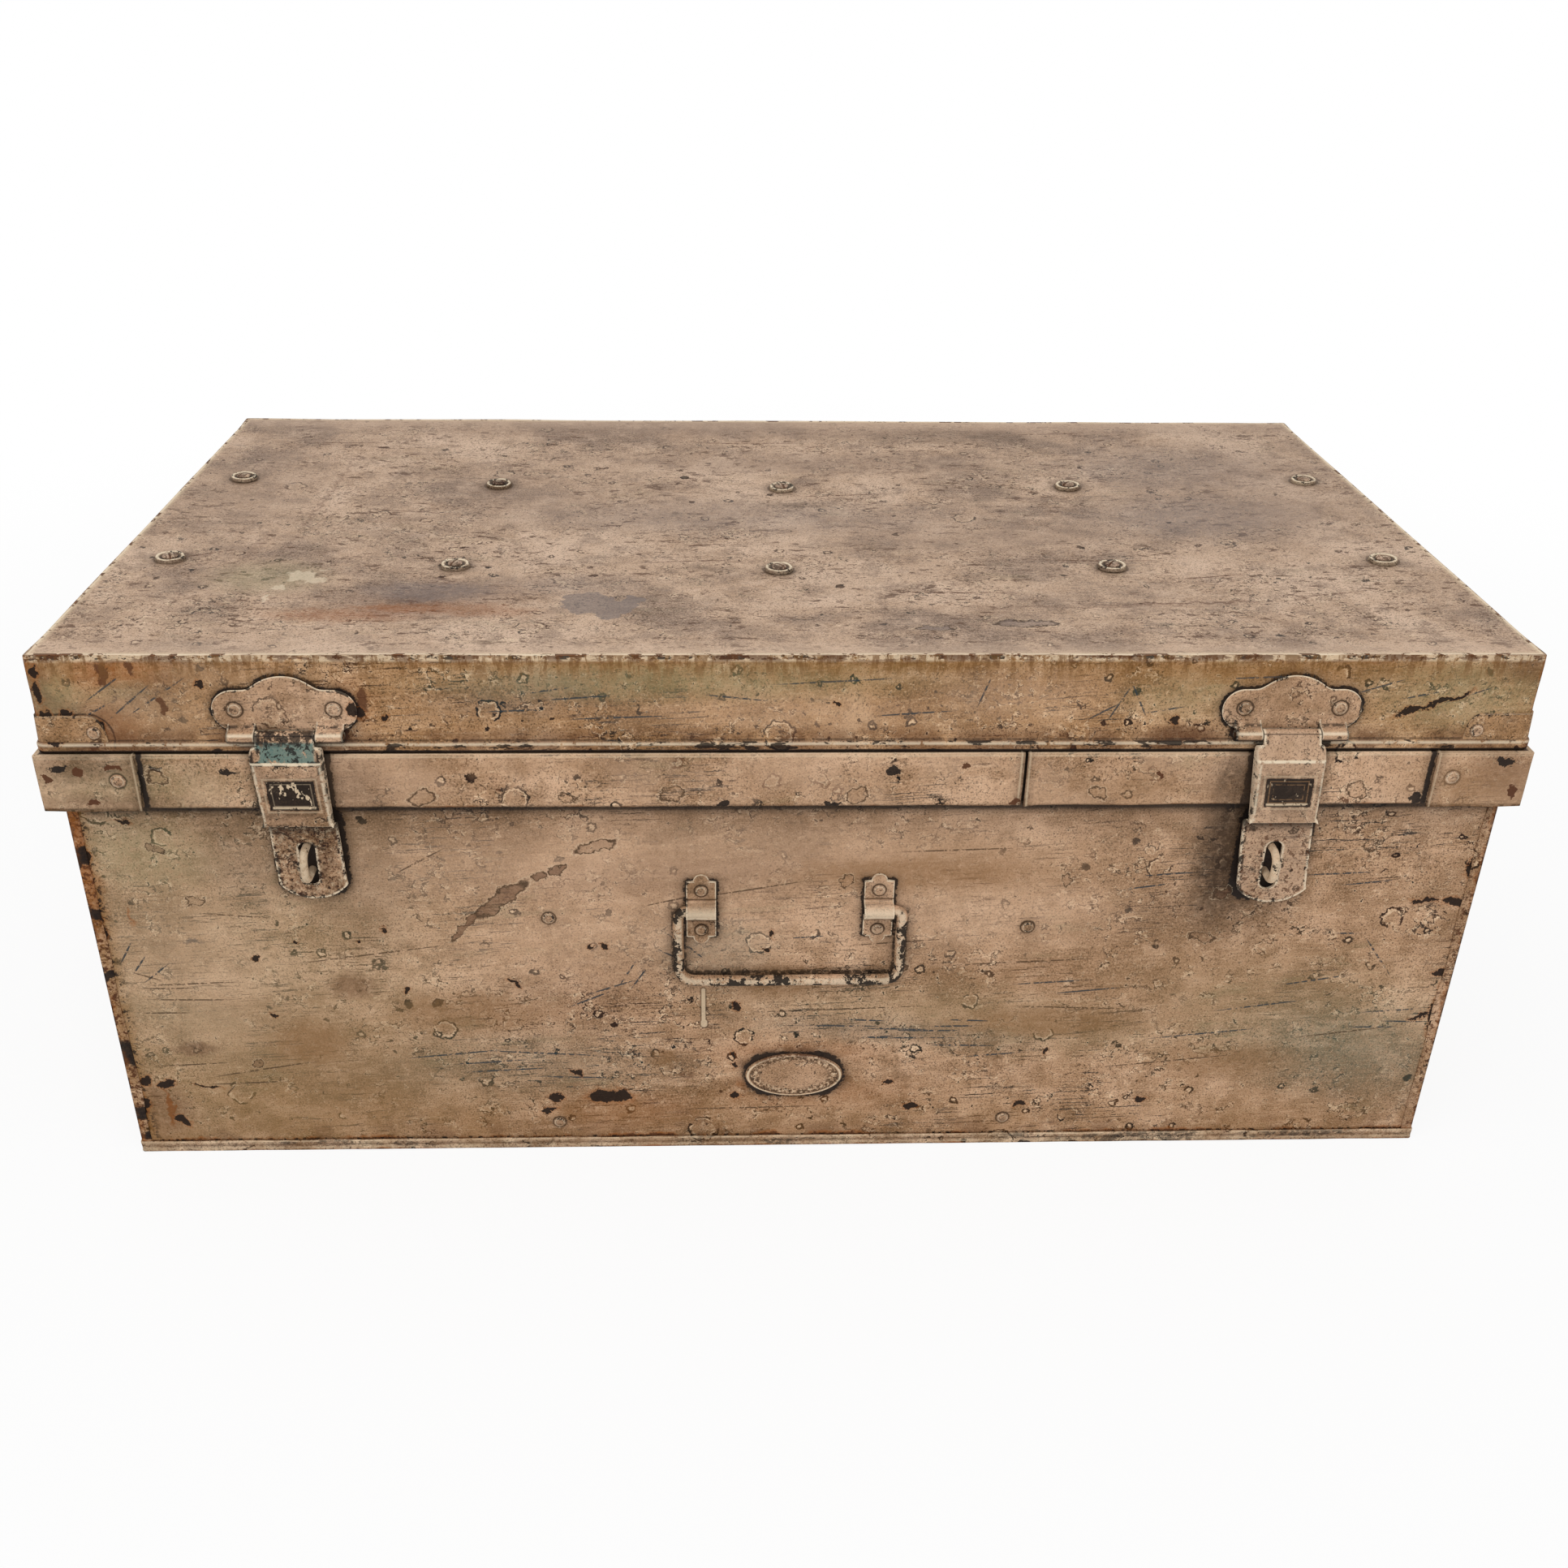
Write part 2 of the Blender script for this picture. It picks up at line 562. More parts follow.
def build_aged_paint(colours, parts):
    """The old brushed paint: cloudy tones, speckle, brush streaks, blister rings, wrinkles, pits and chips."""
    tree, net, given, result = new_group(
        "aged_paint",
        [
            ("Place", "v", None), ("Main", "c", colours.body), ("Light", "c", colours.body_light),
            ("Dark", "c", colours.body_dark), ("Tilt", "f", 0.05), ("Streaks", "f", 1), ("Wrinkles", "f", 1),
            ("Blisters", "f", 1), ("Speckle", "f", 1), ("Chips", "f", 0), ("Grime", "f", 0), ("Fine", "f", 1),
            ("Depth", "f", 0.75),
        ],
        [("Color", "c"), ("Roughness", "f"), ("Height", "f")],
    )
    place = given["Place"]
    broad = net.noise(place, 0.011, 4, 0.6)
    mid = net.noise(place, 0.055, 4, 0.65)
    fine = net.noise(net.vector("MULTIPLY", place, (0.8, 1, 1.1)), net.times(given["Fine"], 0.42), 4, 0.75)
    dust = net.noise(place, 1, 2, 0.8)
    wobble = net.vector("SUBTRACT", net.noise(place, 0.22, 3, 0.65, out=1), (0.5, 0.5, 0.5))
    loose = net.vector("ADD", place, net.vector("SCALE", wobble, 7))
    sway = net.times(net.less(net.noise(place, 0.009, 1), 0.5), 1.1)
    brushed = net.node(
        "ShaderNodeVectorRotate",
        {"Vector": net.vector("ADD", place, net.vector("SCALE", wobble, 1.5)), "Angle": given["Tilt"]},
        rotation_type="Y_AXIS",
    )
    lift = net.times(net.math("SINE", net.times(net.node("ShaderNodeSeparateXYZ", {0: place}), 0.02)), sway, 6)
    brushed = net.vector("ADD", brushed, net.node("ShaderNodeCombineXYZ", {1: lift, 2: lift}))

    dirty = net.ramp(net.noise(place, 0.024, 4, 0.68), 0.44, 0.6, 0.12, 1)
    colour = net.mix(net.ramp(broad, 0.36, 0.52, 0.8, 0), given["Main"], given["Dark"])
    colour = net.mix(net.ramp(broad, 0.5, 0.66, 0, 0.85), colour, given["Light"])
    colour = net.mix(net.ramp(mid, 0.34, 0.5, 0.5, 0), colour, given["Dark"])
    colour = net.mix(net.ramp(mid, 0.5, 0.68, 0, 0.5), colour, given["Light"])

    smear = net.noise(net.vector("MULTIPLY", brushed, (0.3, 1.4, 1.4)), 0.06, 4, 0.65)
    smear_tint = net.mix(net.ramp(net.noise(place, 0.013, 2), 0.36, 0.5), colours.olive, given["Dark"])
    colour = net.mix(net.times(net.ramp(smear, 0.54, 0.7), 0.4, given["Streaks"]), colour, smear_tint)
    colour = net.mix(net.times(net.ramp(smear, 0.48, 0.34), 0.45, given["Streaks"]), colour, given["Light"])
    mottle = net.noise(net.vector("ADD", place, (70, 210, 30)), 0.035, 5, 0.72)
    colour = net.mix(net.times(net.ramp(mottle, 0.52, 0.66, 0, 0.45), given["Streaks"]), colour, colours.mottle)

    grain = net.group(parts["streaks"], Place=brushed, Along=0.05, Across=0.7, Level=0.55, Gate=0.3)
    colour = net.mix(net.times(net.ramp(grain["Grain"], 0.46, 0.3), 0.1, given["Streaks"]), colour, colours.grime)
    colour = net.mix(net.times(net.ramp(grain["Grain"], 0.54, 0.7), 0.14, given["Streaks"]), colour, colours.cream)
    lines = net.group(
        parts["streaks"], Place=net.vector("ADD", brushed, (300, 40, 90)), Along=0.035, Across=1, Level=0.59, Gate=0.53
    )["Mask"]
    tint = net.mix(net.ramp(net.noise(place, 0.02, 1), 0.46, 0.54), colours.ink, colours.rust_dark)
    colour = net.mix(net.times(lines, 0.8, given["Streaks"]), colour, tint)

    colour = net.mix(net.times(net.ramp(dust, 0.48, 0.3), 0.7, given["Speckle"]), colour, colours.grime)
    colour = net.mix(net.times(net.ramp(dust, 0.52, 0.7), 0.6, given["Speckle"]), colour, given["Light"])
    crumbs = net.times(net.ramp(fine, 0.385, 0.345), dirty, given["Speckle"])
    crumb_tint = net.mix(net.ramp(mid, 0.42, 0.58), colours.grime, colours.rust_dark)
    colour = net.mix(net.times(crumbs, 0.9), colour, crumb_tint)
    colour = net.mix(net.times(net.ramp(fine, 0.6, 0.72), 0.35, given["Speckle"]), colour, colours.cream)

    big = net.group(parts["rings"], Place=loose, Spacing=44, Least=3.5, Most=9, Share=0.4, Width=0.75, Open=0)
    middle = net.group(parts["rings"], Place=loose, Spacing=15, Least=0.9, Most=2.7, Share=0.5, Width=0.8, Open=0.12)
    small = net.group(parts["rings"], Place=loose, Spacing=6.5, Least=0.2, Most=0.75, Share=0.4, Width=0.5, Open=0.7)
    crease = net.group(parts["wrinkles"], Place=loose, Scale=0.15, Width=0.04, Gate=0.5)
    line = net.times(net.most(big["Line"], middle["Line"], net.times(small["Line"], 0.8)), given["Blisters"])
    line = net.least(net.most(line, net.times(crease["Line"], given["Wrinkles"], dirty)), 1)
    lip = net.times(net.most(big["Lip"], middle["Lip"]), given["Blisters"])
    lip = net.most(lip, net.times(crease["Lip"], given["Wrinkles"], dirty))
    colour = net.mix(net.times(net.least(lip, 1), 0.5), colour, colours.cream)
    line_tint = net.mix(net.ramp(net.noise(place, 0.04, 1), 0.4, 0.6), colours.black, colours.rust_dark)
    colour = net.mix(net.times(line, 0.92), colour, line_tint)
    hole = net.least(net.times(net.most(middle["Hole"], net.times(small["Hole"], 0.85)), given["Blisters"]), 1)
    hole_tint = net.mix(net.ramp(mid, 0.45, 0.55), colours.rust_dark, colours.black)
    colour = net.mix(net.times(hole, 0.92), colour, hole_tint)

    grimy = net.times(given["Grime"], net.ramp(net.noise(place, 0.14, 4, 0.7), 0.3, 0.62, 1, 0.2))
    colour = net.mix(grimy, colour, colours.grime)
    chip = net.group(parts["chips"], Place=place, Scale=0.22, Level=net.less(0.78, given["Chips"]))
    colour = net.mix(net.times(chip["Lip"], 0.3), colour, colours.cream)
    chip_tint = net.mix(net.ramp(mid, 0.46, 0.54), colours.rust_dark, colours.black)
    colour = net.mix(net.times(chip["Chip"], 0.9), colour, chip_tint)
    bright = net.math(
        "DIVIDE", net.node("ShaderNodeRGBToBW", {0: colour}), net.node("ShaderNodeRGBToBW", {0: given["Main"]}),
    )
    bright = net.least(net.most(bright, 0.08), 1.5)
    colour = net.vector("SCALE", colour, net.math("POWER", bright, given["Depth"]))

    rough = net.ramp(fine, 0.3, 0.7, 0.66, 0.5)
    rough = net.math("ADD", rough, net.times(net.plus(hole, grimy), 0.18), clamp=True)
    height = net.plus(net.times(fine, 0.6), net.times(grain["Grain"], 0.25))
    height = net.plus(height, net.times(net.less(lip, line), 0.3))
    height = net.less(height, net.times(net.plus(hole, chip["Chip"]), 0.7))
    net.put(result[0], colour)
    net.put(result[1], rough)
    net.put(result[2], height)
    return tree


class Paintwork:
    """One material under way: its base layer, and the marks that are laid over it one after another."""

    def __init__(self, name, kit, flat="front", ragged=1, **base):
        self.material = bpy.data.materials.new(name)
        self.net, self.kit, self.colours = fresh_net(self.material), kit, kit["colours"]
        net = self.net
        self.place = net.vector("SCALE", net.node("ShaderNodeTexCoord", {}, "Object"), 1000)
        wander = net.vector("SUBTRACT", net.noise(self.place, 0.13, 4, 0.65, out=1), (0.5, 0.5, 0.5))
        self.loose = net.vector("ADD", self.place, net.vector("SCALE", wander, 12 * ragged))
        parts = net.node("ShaderNodeSeparateXYZ", {0: self.place}, None)
        loose = net.node("ShaderNodeSeparateXYZ", {0: self.loose}, None)
        first, second = {"front": (0, 2), "side": (1, 2), "top": (0, 1)}[flat]
        self.plane = net.node("ShaderNodeCombineXYZ", {0: parts[first], 1: parts[second]})
        self.loose_plane = net.node("ShaderNodeCombineXYZ", {0: loose[first], 1: loose[second]})
        self.x, self.y, self.z = parts
        made = net.group(kit["aged_paint"], Place=self.place, **base)
        self.colour, self.rough, self.height = made["Color"], made["Roughness"], made["Height"]
        self.metal = 0
        self.flecks = net.noise(self.place, 0.3, 4, 0.7)
        self.broken_up = net.ramp(self.flecks, 0.3, 0.6, 0.55, 1)
        self.dashed = net.ramp(self.flecks, 0.42, 0.5)
        self.bare = self.ringed = self.sunk = None
        self.waiting = {}

    def lay(self, mask, tint, strength=1):
        """Set a mark of a plain tint aside. Marks of one tint are joined, and laid before the next blend."""
        mask = self.net.times(mask, strength)
        held = self.waiting.get(tuple(tint))
        self.waiting[tuple(tint)] = mask if held is None else self.net.most(held, mask)

    def gather(self, store, distance):
        """Keep the least of the distances of one kind of mark; the marks are laid on together at the end."""
        held = getattr(self, store)
        setattr(self, store, distance if held is None else self.net.least(held, distance))

    def blend(self, mask, colour, strength=1, rough=None, sink=0):
        """Lay a colour over the paint where the mask is, with its own roughness and depth. Several masks are
        multiplied."""
        net = self.net
        mask = net.times(*mask) if isinstance(mask, tuple) else mask
        waiting, self.waiting = self.waiting, {}
        for tint, held in waiting.items():
            self.colour = net.mix(held, self.colour, tint)
        if strength != 1:
            mask = net.times(mask, strength)
        self.colour = net.mix(mask, self.colour, colour)
        if rough is not None:
            self.rough = net.node("ShaderNodeMix", {0: mask, 2: self.rough, 3: rough}, data_type="FLOAT")
        if sink:
            self.height = net.less(self.height, net.times(mask, sink))

    def fleck(self, low, high, first=0, last=1):
        """A step of the fine flecks' noise."""
        return self.net.ramp(self.flecks, low, high, first, last)

    def reach(self, centre, radii, turn=0, loose=True):
        """0 at a mark's middle, 1 on its border; turn is anticlockwise in degrees."""
        plane = self.loose_plane if loose else self.plane
        values = {"Place": plane, "Centre": (*centre, 0), "Radii": (*radii, 1e4), "Turn": -math.radians(turn)}
        return self.net.group(self.kit["mark"], **values)[0]

    def clouds(self, *groups, soft=0.8):
        """Soft stains with borders broken up by flecks. A group is a tint's name and its stains, each with middle x
        and y, two radii, turn, strength and at times a softness of its own."""
        for tint, *stains in groups:
            for x, y, along, across, turn, strength, *own in stains:
                blur = own[0] if own else soft
                fade = self.net.fade(self.reach((x, y), (along, across), turn), 1 - blur, 1 + blur)
                self.lay(self.net.times(fade, self.broken_up), getattr(self.colours, tint), strength)

    def chips(self, *places):
        """Chips down to the steel with rusty borders, each with middle x and y, two radii and turn."""
        for x, y, along, across, turn in places:
            self.gather("bare", self.reach((x, y), (along, across), turn))

    def spots(self, places, tint, strength, low=0.8, high=1.15, within=None):
        """Spots of a plain tint with clear borders, each with middle x and y and two radii."""
        for x, y, along, across in places:
            spot = self.net.fade(self.reach((x, y), (along, across)), low, high)
            self.lay(spot if within is None else self.net.times(within, spot), tint, strength)

    def stain(self, centre, radii, turn, tint, fill, line):
        """A dried stain: a thin wash inside a dark border line."""
        away = self.reach(centre, radii, turn)
        if fill:
            self.lay(self.net.fade(away, 0.9, 1), tint, fill)
        if line:
            self.gather("ringed", self.net.plus(away, 0.2 - 0.2 * line))

    def scratches(self, places, tint, strength=0.8, width=0.45):
        """Straight, broken hairlines, each given by its middle x and y, half length and turn."""
        nearest = self.net.least(*[self.reach((x, y), (half, width), turn, loose=False) for x, y, half, turn in places])
        self.lay(self.net.times(self.net.fade(nearest, 0.8, 1.2), self.dashed), tint, strength)

    def outline(self, centre, half, radius, loose=0):
        """Signed distance in mm from a fitting's outline."""
        values = {
            "Place": self.plane, "Centre": (*centre, 0), "Core": (half[0] - radius, half[1] - radius, 1e4),
            "Radius": radius,
        }
        distance = self.net.group(self.kit["outline"], **values)[0]
        if loose:
            distance = self.net.plus(distance, self.net.times(self.net.less(self.flecks, 0.5), loose))
        return distance

    def surround(self, distance, line=1.2, halo=7, dark=0.8, soft_dark=0.35):
        """A dark dirt line close round a fitting and a fainter halo further out."""
        net, colours = self.net, self.colours
        swell = net.ramp(self.flecks, 0.35, 0.65, -line * 0.8, line * 0.9)
        self.blend(net.fade(distance, 0, halo), colours.grime, soft_dark)
        self.blend(net.fade(distance, 0, halo * 0.45), colours.grime, soft_dark)
        crisp = net.plus(distance, net.times(net.less(self.flecks, 0.5), 3))
        self.blend(net.fade(net.less(crisp, swell), line * 0.5, line * 0.9), colours.black, dark)
        self.gather("sunk", distance)

    def rivet_rings(self, places, radius, dark=0.75):
        """Dark rings of dirt round rivet heads."""
        nearest = self.net.least(*[self.outline(place, (radius, radius), radius, 1.6) for place in places])
        self.blend(self.net.fade(nearest, 0, 4), self.colours.grime, 0.25)
        self.blend(self.net.fade(nearest, 0.5, 1), self.colours.grime, dark)

    def stretched(self, stretch, scale, detail, rough):
        """Noise squeezed along each axis by its own number."""
        return self.net.noise(self.net.vector("MULTIPLY", self.place, stretch), scale, detail, rough)

    def patches(self, scale, low, high):
        """Mask of noise between two levels."""
        return self.net.ramp(self.net.noise(self.place, scale, 4, 0.65), low, high)

    def edge_rust(self, distance, width, strength=0.8, chips=0.5, level=0.5):
        """Rust and chips that creep in from an edge; distance is in mm from it."""
        net, colours = self.net, self.colours
        swell = net.less(net.noise(self.place, 0.035, 4, 0.7), level)
        wander = net.times(swell, width * -7)
        here = net.plus(distance, wander)
        self.blend(
            net.times(net.fade(here, 0, width), net.ramp(self.flecks, 0.35, 0.55, 0.25, 1)), colours.rust,
            strength * 0.75,
        )
        flaked = net.plus(here, net.times(net.less(self.flecks, 0.5), width * 4))
        self.blend(net.fade(flaked, -width * 0.4, width * 0.1), colours.rust_dark, strength, rough=0.85)
        if chips:
            flakes = net.ramp(self.flecks, 0.63 - 0.14 * chips, 0.67 - 0.14 * chips)
            self.blend(net.times(flakes, net.fade(distance, 0, width * 0.6)), colours.black, 0.95, rough=0.8, sink=0.6)

    def finish(self, distance=0.0007):
        """Close the material with the principled shader and the relief."""
        net = self.net
        self.blend(0, self.colours.black)
        if self.ringed is not None:
            self.blend(net.near(self.ringed, 1.22, 0.08), self.colours.cream, 0.35)
            self.blend(net.near(self.ringed, 1, 0.2), self.colours.grime, 0.9)
        if self.bare is not None:
            self.blend(net.fade(self.bare, 1.1, 1.6), self.colours.rust, 0.35)
            self.blend(net.fade(self.bare, 0.95, 1.1), self.colours.black, 0.95, 0.8, 0.8)
        if self.sunk is not None:
            self.height = net.less(self.height, net.ramp(self.sunk, 0.7, 1.6, 0.4, 0))
        normal = net.node(
            "ShaderNodeBump", {"Height": self.height, "Distance": distance, "Strength": self.kit["relief"]},
        )
        net.principled(
            Base_Color=self.colour, Roughness=self.rough, Normal=normal, Metallic=self.metal, Specular_IOR_Level=0.14
        )
        return self.material


def wear_layers(work, rub=0.5, chip_level=0.5):
    """Rubbed and chipped edges where the mesh carries its wear attribute."""
    net, colours = work.net, work.colours
    worn = net.attribute("wear")
    work.blend(net.times(net.ramp(worn, 0.3, 0.7), net.ramp(work.flecks, 0.3, 0.5)), colours.pale, rub)
    spread = net.noise(work.place, 0.09, 3, 0.6)
    bitten = net.times(
        net.ramp(worn, 0.12, 0.3),
        net.ramp(net.plus(work.flecks, net.times(net.less(spread, 0.5), 0.8)), chip_level, chip_level + 0.04),
    )
    work.blend(bitten, colours.black, 0.92, 0.75, 0.5)


def build_body_front(kit):
    """The front wall: patches, rust along its left end and its foot, scratches, chips, stains and a dried drip."""
    c = kit["colours"]
    w = Paintwork("body_front_paint", kit, Chips=0.085)
    net = w.net
    w.clouds(
        (
            "olive", (-345, 205, 45, 26, -10, 0.5), (-310, 105, 110, 110, 0, 0.32), (-335, 100, 60, 20, -12, 0.4),
            (110, 92, 120, 20, -5, 0.25), (300, 90, 90, 36, -8, 0.25),
        ),
        (
            "body_light", (-330, 130, 40, 50, 0, 0.4), (-60, 200, 200, 26, 2, 0.6), (90, 165, 90, 24, 0, 0.5),
            (-80, 160, 110, 30, 10, 0.5),
        ),
        ("ochre", (-290, 30, 130, 44, 0, 0.25)),
        ("ink", (60, 84, 70, 8, -6, 0.3)),
        ("black", (235, 206, 14, 46, 0, 0.8)),
        (
            "grime", (238, 172, 26, 18, 0, 0.55), (243, 198, 22, 42, 0, 0.75), (238, 168, 34, 22, 0, 0.4),
            (-292, 205, 20, 30, 0, 0.4), (-230, 190, 24, 40, 0, 0.3),
        ),
        ("sea", (330, 62, 60, 30, -8, 0.25), (-150, 60, 70, 24, 0, 0.16), (-40, 140, 30, 20, 0, 0.2)),
        ("rust", (-96, 27, 40, 12, 0, 0.3), (20, 38, 50, 10, 0, 0.25), (4, 70, 44, 6, 0, 0.3), (-24, 46, 5, 4, 0, 0.6)),
        (
            "rust_dark", (-120, 110, 60, 20, 8, 0.2), (-60, 190, 90, 12, 4, 0.22), (-22, 60, 7, 4, 0, 0.7),
            (4, 69, 16, 3, 0, 0.7), (33, 50, 4, 6, 0, 0.6),
        ),
        ("body_dark", (100, 195, 60, 16, 0, 0.5), (200, 120, 120, 30, 6, 0.3), (-260, 80, 40, 60, 0, 0.35)),
    )
    w.spots([(-358, 32, 1.8, 15)], c.rust, 0.85, 0.7, 1.2)
    w.spots([(-372, 26, 1.8, 15)], c.rust_dark, 0.8, 0.7, 1.2)
    w.spots([(-375, 196, 2.4, 40)], c.rust, 0.7, 0.7, 1.3)
    w.clouds(
        ("rust", (-357.5, 166, 1.2, 6, 0, 0.55), (-374, 180, 5, 22, 0, 0.55)),
        (
            "mottle", (-272, 79, 20, 14, 0, 0.55), (-71, 66, 8, 6, 0, 0.55), (60, 190, 60, 10, 0, 0.55),
            (-180, 100, 40, 14, 0, 0.55), (150, 90, 50, 10, 0, 0.55), (0, 120, 30, 12, 0, 0.55),
            (260, 60, 40, 12, 0, 0.55),
        ),
        (
            "rust_dark", (-244, 118, 12, 8, 0, 0.55), (-337, 75, 12, 4, 0, 0.55), (-58, 53, 4, 3, 0, 0.55),
            (-365, 30, 18, 20, 0, 0.55),
        ),
        ("ink", (-328, 149.5, 5, 1, 0, 0.55)),
        soft=0.5,
    )
    w.blend(net.ramp(w.z, 206, 234), c.grime, 0.25)
    w.blend(net.ramp(w.z, 227, 233.5), c.black, 0.6)
    w.blend(net.ramp(w.z, 231, 233), c.black, 0.7)
    w.blend((net.ramp(w.z, 70, 10), w.patches(0.02, 0.3, 0.6)), c.ochre, 0.3)
    w.blend((net.ramp(w.z, 24, 8), w.patches(0.05, 0.45, 0.62)), c.rust_dark, 0.4)
    w.scratches([
        (30, 88, 22, -1), (62, 85.5, 18, -2), (82, 84, 20, -1), (96, 87, 14, 0), (70, 79, 26, -1), (100, 73, 18, -2),
        (120, 66, 16, 5), (333, 134, 15, -54), (312, 150, 7, 0), (-190, 70, 26, 6), (-170, 64, 20, 4),
        (150, 118, 22, 4), (170, 112, 18, 6), (-90, 126, 9, 60), (-84, 122, 8, 58), (270, 100, 24, 8),
        (300, 118, 20, 10), (240, 80, 30, 6), (10, 150, 10, 4), (-62, 148, 9, -40), (-56, 156, 7, -50),
        (-66, 138, 8, -30), (-52, 140, 6, -45), (-100, 116, 14, 20), (-112, 108, 12, 24), (-140, 70, 30, -4),
        (-160, 58, 24, 3), (-120, 52, 20, -2), (44, 92, 12, -3), (52, 80, 10, 2), (104, 91, 12, -3), (348, 96, 16, 4),
        (356, 88, 12, -2), (340, 84, 14, 0), (-364, 142, 8, 60), (-358, 134, 7, 55), (-350, 128, 9, 40),
        (206, 190, 14, 4), (196, 182, 12, 8), (300, 190, 18, 3), (318, 184, 14, 6),
    ], c.ink, 0.9, 0.55)
    w.scratches(
        [
            (-60, 176, 22, 14), (-20, 182, 26, 10), (60, 146, 26, 4), (130, 132, 40, 3), (-230, 140, 40, 8),
            (-300, 60, 30, 10), (30, 100, 50, 2), (220, 60, 40, 6), (320, 80, 26, 8), (-345, 118, 14, 0),
            (-335, 110, 22, -1), (-330, 121, 24, 2), (-350, 101, 14, 0), (-300, 166, 18, -5), (-340, 64, 20, 3),
            (-310, 50, 22, 2), (-322, 44, 6, 50), (-355, 126, 8, -20), (-200, 200, 16, 30), (90, 206, 30, 2),
            (160, 100, 30, -2), (-20, 28, 40, 1),
        ],
        c.grime, 0.8, 0.5,
    )
    left_end = net.plus(w.x, WALL_X)
    w.blend((net.ramp(left_end, 15, 3), w.patches(0.05, 0.3, 0.45)), c.ochre, 0.6)
    w.edge_rust(left_end, 7, 0.85, 1, 0.55)
    w.blend((net.ramp(left_end, 14, 6), w.fleck(0.53, 0.57)), c.black, 0.9)
    w.edge_rust(net.less(WALL_X, w.x), 3, 0.5, 0.9, 0.45)
    w.edge_rust(net.less(w.z, 7.4), 2.4, 0.85, 0.8, 0.52)
    for x, z, half_x, half_z, radius in (
        *[(x, HANDLE_AXIS[1], 8.1, 18, 1) for x in BRACKETS.values()], (*BADGE, *BADGE_HALF, 14.9),
        (-255.5, 208, 18.2, 27, 9), (260.5, 204, 19.2, 29.5, 9),
    ):
        w.surround(w.outline((x, z), (half_x, half_z), radius, 2.6), 1.8, 7.5, 0.9, 0.42)
    bail = net.size(w.outline((0, 163.4), (61.3, 40), 8.5, 2))
    low = net.ramp(w.z, 172, 166)
    w.blend((net.fade(bail, 3, 10), low, w.fleck(0.3, 0.6, 0.5, 1)), c.grime, 0.45)
    w.blend((net.fade(bail, 3.6, 4.6), low, w.fleck(0.4, 0.5)), c.black, 0.7)
    w.rivet_rings([*STRAP_RIVETS, *FLOOR_RIVETS], 3.6)
    w.chips(
        (-107, 38.2, 8.6, 4.6, 0), (-98, 38, 7.6, 4.6, -10), (-121, 56, 3.4, 2, -20), (-30.2, 37, 2.6, 2.4, 0),
        (138.2, 29, 3.8, 2, 0), (-28.6, 102, 2.2, 3.6, 0), (352, 172, 8, 1.2, 0), (-102, 144, 3.2, 1.6, -35),
        (-154, 120, 4.6, 1.3, -35), (73, 28, 4, 2.2, 0), (151, 68, 2, 1.8, 0), (211, 31, 3.4, 1.8, 0),
        (-375, 160, 2.4, 9, 0), (-138, 28, 5, 1.8, 10), (-134, 37, 4, 2, 0), (374, 94, 2.8, 14, 0),
        (366, 92, 5, 1.6, 20), (372, 122, 4, 2, 0), (-374, 36, 3, 9, 0), (-352, 22, 6, 2.4, -50), (60, 45, 2, 1.6, 0),
        (-30, 60, 1.4, 2.4, 0), (-357.5, 50, 4.2, 2.6, 0), (-376.4, 73, 2.2, 10, 0), (-375.5, 200, 3.2, 9, 0),
        (-377, 216, 2.4, 6, 0), (-376, 178, 2.6, 6, 0), (-377, 140, 2.4, 7, 0), (-377, 106, 2.2, 9, 0),
        (-373.5, 38, 5, 3, -30), (-368.5, 51.5, 3, 3.4, 0), (374.5, 194, 3.4, 8, 0), (370, 171, 9, 2.6, -4),
        (376, 168, 2, 4, 0), (-334, 48, 7, 0.9, -4), (-222.8, 156, 1.6, 1.9, 0), (-212.5, 116, 2.2, 1.6, 0),
        (-295, 137, 1.8, 1.6, 0), (-271.6, 148, 1.7, 1.1, 0), (-238, 147.7, 1.5, 1.2, 0), (-289.6, 99, 1.5, 1.3, 0),
        (-9.5, 152.6, 1.3, 3.2, 0), (-11.4, 141, 1.8, 1.4, 0), (-110, 143, 2, 1.2, 0), (-31, 67.4, 1.4, 3, 0),
        (-352, 226, 5, 1.2, 0),
    )
    for x, z, along, across, turn, fill, line in (
        (-157, 176, 17, 4.6, 41, 0.5, 1), (-178, 158, 12, 2.2, 47, 0.6, 1), (-302.6, 65, 3.6, 3, 20, 0.3, 0.9),
        (-136, 190.5, 5, 2.9, 12, 0.6, 0.8), (-126, 195, 4.6, 2.8, 15, 0.6, 0.8), (-322, 176, 5.5, 2.6, 0, 0.1, 0.8),
        (238, 178, 6, 3, 40, 0.3, 0.4), (62, 128, 5, 2.6, 35, 0.2, 0.7), (30, 187, 3.6, 3.2, 0, 0, 0.6),
        (-338, 210, 5, 2, -30, 0.4, 0.6), (-105, 209, 12, 4, 15, 0.2, 0.6), (190, 196, 3.5, 3, 0, 0, 0.6),
        (313, 208, 4.5, 4, 0, 0, 0.5), (150, 186, 2.2, 4.4, 10, 0.1, 0.7), (231, 148, 9, 3, -10, 0.1, 0.5),
    ):
        w.stain((x, z), (along, across), turn, c.rust_dark, fill, line)
    drip = net.least(w.outline((-48, 102), (1, 13), 0.9), w.outline((-47.7, 90.5), (1.7, 2.6), 1.6))
    w.blend(net.fade(drip, 0.4, 1.4), c.grime, 0.6)
    w.blend(net.fade(drip, -0.2, 0.4), c.cream, 0.75)
    return w.finish()


